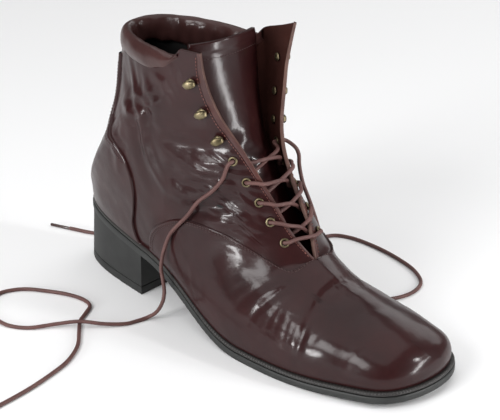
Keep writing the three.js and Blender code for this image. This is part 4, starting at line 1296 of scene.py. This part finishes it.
def over_rim(side, share, at_rim, at_lip):
    """Up through an eyelet, over its rim and towards the facing's edge, at the given shares."""
    return [
        *through(side, share, -2.0, 0.6),
        lifted(side, at_rim, HARDWARE_INSET - 2.6, OVER_EYELET - 0.2),
        lifted(side, at_lip, 4, LACE / 2 + 0.6),
    ]


def strand(start_side, end_side, k, middle):
    """One strand of a crossing, from an eyelet down to the next one on the other side."""
    upper, lower = EYELET_SHARES[k + 1], EYELET_SHARES[k]
    under = -WALL - LACE / 2 - 0.7
    if k == TOP_EYELET - 1:
        first = [*through(start_side, upper, -1.5, -4.0), lifted(start_side, upper - 0.03, 3, under)]
    else:
        first = over_rim(start_side, upper, upper - 0.004, upper - 0.012)
        first.append(lifted(start_side, upper - 0.025, 0.2, LACE / 2 + 0.3))
    last = [lifted(end_side, lower + 0.03, 2, under), *through(end_side, lower, -4.0, -1.5)]
    return [*first, middle, *last]


def make_lacing():
    """The crossings, and the bar over the lowest eyelets."""
    for k in range(TOP_EYELET):
        share = (EYELET_SHARES[k] + EYELET_SHARES[k + 1]) / 2
        height = -WALL - LACE / 2 - 0.6 if k == TOP_EYELET - 1 else -0.6
        middle = (lifted("outer", share, 0.5, height) + lifted("inner", share, 0.5, height)) / 2
        over, under = middle + np.array([0.9, 0, 0.9]), middle - np.array([0.7, 0, 0.7])
        paths = [strand("outer", "inner", k, over), strand("inner", "outer", k, under)]
        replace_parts(lace_curve(f"lace_crossing_{k + 1}", paths, 90), f"lace_cross_{k + 1}")
    share = EYELET_SHARES[0]
    half = {}
    for side in SIDES:
        edge = lifted(side, share + 0.01, 0.3, LACE / 2 + 0.6)
        half[side] = [*over_rim(side, share, share, share + 0.005), edge]
    bar = lace_curve("lace_bottom_bar", [[*half["outer"], *half["inner"][::-1]]], 90)
    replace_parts(bar, "lace_bar")


def make_loose_ends():
    """The two ends, up through the top eyelets and down over the floor."""
    share = EYELET_SHARES[TOP_EYELET]
    for side, tag in (("outer", "near"), ("inner", "far")):
        first = through(side, share, -1.5, 1.0)
        if side == "outer":
            first.append(lifted(side, share - 0.004, HARDWARE_INSET + 2.4, OVER_EYELET - 0.1))
        else:
            first[1] = lifted(side, share, HARDWARE_INSET, 2.5)
        path = [*first, *LOOSE_ENDS[side]]
        line = smooth_line(path, 420)
        length = run_along(line)[-1] / 1000
        obj = lace_curve(f"loose_lace_{tag}", [path], 420)
        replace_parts(obj, f"lace_end_{tag}")
        tip = make_aglet(tag, line)
        to_metres(line[0])


AGLET_LENGTH = 15.0
AGLET_RADIUS = 1.0


def make_aglet(tag, line):
    """The sleeve on the tip of a loose end, lying on the floor."""
    along = unit((line[-1] - line[-4]) * np.array([1, 1, 0]))
    end = np.array([line[-1][0], line[-1][1], AGLET_RADIUS + 0.05])
    radius, tip = AGLET_RADIUS, AGLET_LENGTH
    profile = [(0.0, -0.5), (0.9 * radius, -0.5), (radius, -0.2), (radius, tip - 0.4), (0.85 * radius, tip),
               (0.0, tip)]
    grid = lathe(profile, end, along, np.array([0, 0, 1.0]), 24)
    obj = join_grids(f"aglet_sleeve_{tag}", [grid], AGLET_MAT)
    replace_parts(obj, f"aglet_{tag}")
    return obj


# Stitches: short raised dashes of thread, each six-sided and thinner at its ends
def stitch_points(start, end, n, size):
    along = unit(end - start)
    beside = np.cross(n, along)
    points = []
    for t, fat, lift in ((0, 0.35, -0.16), (0.2, 1.0, 0.1), (0.8, 1.0, 0.1), (1, 0.35, -0.16)):
        centre = start * (1 - t) + end * t + n * lift
        for a in range(6):
            angle = math.pi * a / 3
            points.append(centre + (n * math.cos(angle) + beside * math.sin(angle)) * size * fat * 0.8)
    return points


def stitches(name, lines, thread=THREAD, pitch=2.1, size=0.32):
    """Stitches along lines, each given as its points and the ways out of the leather."""
    points, faces = [], []
    for line, normals in lines:
        run = run_along(line)

        def place(table, s):
            return np.array([np.interp(s, run, table[:, a]) for a in range(3)])

        for k in range(int(run[-1] / pitch)):
            start, end = k * pitch + 0.25, k * pitch + pitch - 0.35
            n = unit(place(normals, (start + end) / 2))
            faces += [(a, d, c, b) for a, b, c, d in grid_faces(4, 6, len(points), wrap=True)]
            points += stitch_points(place(line, start), place(line, end), n, size)
    mesh_object(name, np.array(points), faces, thread)


def seam_line(side, rows, shares, offset):
    return skin(side, rows, shares, offset), normal(side, rows, shares)


def make_stitching():
    """Two rows along the vamp's edge, one by each facing, the counter's and the tongue's hem."""
    vamp, facing, counter = [], [], []
    for side in SIDES:
        shares = np.linspace(0.03, 0.985, 400)
        limit = vamp_limit(side, shares)
        for back in (0.055, 0.11):
            rows = limit - back * 8 / np.maximum(limit, 4)
            vamp.append(seam_line(side, rows, shares, LAYER))
        rows = np.linspace(5.6, facing_end(side) - 0.05, 300)
        facing.append(seam_line(side, rows, np.full_like(rows, 1 - 2.6 / FACING_RIB), 0.05))
        rows = np.linspace(8.9, 15.3, 300)
        limit = counter_limit(side, rows)
        counter.append(seam_line(side, rows, np.maximum(limit - 0.022, 0.001), 0.25 + OVERLAY))
    front, _, lean = tongue_faces(np.array([HEM_STITCHES]), 120)
    stitches("tongue_stitches", [(front[0], -lean)])
    stitches("vamp_stitches", vamp)
    stitches("facing_stitches", facing, LIGHT_THREAD, size=0.26)
    stitches("counter_stitches", counter)


# Camera, floor and light
AIM = Vector((0.08637, 0.01770, 0.06070))
AZIMUTH = math.radians(42.85)
ELEVATION = math.radians(25.91)
DISTANCE = 1.01065
FOCAL = 1637.57 / 500 * 36


def make_camera():
    away = Vector((
        math.sin(AZIMUTH) * math.cos(ELEVATION),
        -math.cos(AZIMUTH) * math.cos(ELEVATION),
        math.sin(ELEVATION),
    ))
    data = bpy.data.cameras.new("camera")
    data.lens = FOCAL
    data.sensor_width = 36
    data.sensor_fit = "HORIZONTAL"
    data.clip_start = 0.05
    camera = bpy.data.objects.new("camera", data)
    camera.location = AIM + away * DISTANCE
    camera.rotation_euler = away.to_track_quat("Z", "Y").to_euler()
    bpy.context.scene.collection.objects.link(camera)
    bpy.context.scene.camera = camera


# Lights: place and target in metres, width and height, power in watts, and roll in degrees
LIGHTS = {
    "side_box": [(0.03, -1.10, 0.80), (0.12, -0.02, 0.06), (0.6, 0.45), 8.5, 0],
    "low_box": [(-0.08, -1.20, 0.24), (0.10, -0.02, 0.09), (0.20, 0.24), 6, 0],
    "front_strip": [(0.80, 0.19, 0.19), (0.10, 0.0, 0.15), (0.05, 0.46), 3.2, -45],
    "toe_box": [(1.05, 0.48, 0.80), (0.22, 0.0, 0.04), (0.10, 0.10), 3, 0],
    "top_box": [(-0.25, -0.1, 1.6), (0.12, 0, 0.05), (2.4, 2.4), 20, 0],
    "back_fill": [(-0.1, 1.3, 0.7), (0.1, 0, 0.05), (1.2, 0.5), 4, 0],
}
WORLD_STRENGTH = 0.13
FLOOR_REACH = 3


def area_light(name, place, target, size, power, roll):
    data = bpy.data.lights.new(name, "AREA")
    data.shape = "RECTANGLE"
    data.size, data.size_y = size
    data.energy = power
    obj = bpy.data.objects.new(name, data)
    obj.location = place
    obj.rotation_euler = (Vector(place) - Vector(target)).to_track_quat("Z", "Y").to_euler()
    obj.rotation_euler.rotate_axis("Z", math.radians(roll))
    obj.visible_camera = False
    bpy.context.scene.collection.objects.link(obj)
def make_stage():
    """White floor, even surroundings and the lights."""
    bpy.context.scene.view_settings.view_transform = "Standard"
    mesh = bpy.data.meshes.new("floor")
    r = FLOOR_REACH
    mesh.from_pydata([(-r, -r, 0), (r, -r, 0), (r, r, 0), (-r, r, 0)], [], [(0, 1, 2, 3)])
    floor = bpy.data.objects.new("floor", mesh)
    bpy.context.scene.collection.objects.link(floor)
    mesh.materials.append(plain("white_floor", (0.93, 0.93, 0.935), 0.7))
    world = bpy.data.worlds.new("studio")
    bpy.context.scene.world = world
    world.use_nodes = True
    background = world.node_tree.nodes["Background"]
    background.inputs["Color"].default_value = (1, 1, 1, 1)
    background.inputs["Strength"].default_value = WORLD_STRENGTH
    for name, settings in LIGHTS.items():
        area_light(name, *settings)


make_outsole()
make_welt()
make_insole()
make_heel()
make_vamp()
make_quarters()
make_facing_edges()
make_facing_rims()
make_lining()
make_counter()
make_pad()
make_tongue()
make_eyelets()
make_hooks()
make_lacing()
make_loose_ends()
make_stitching()
make_camera()
make_stage()
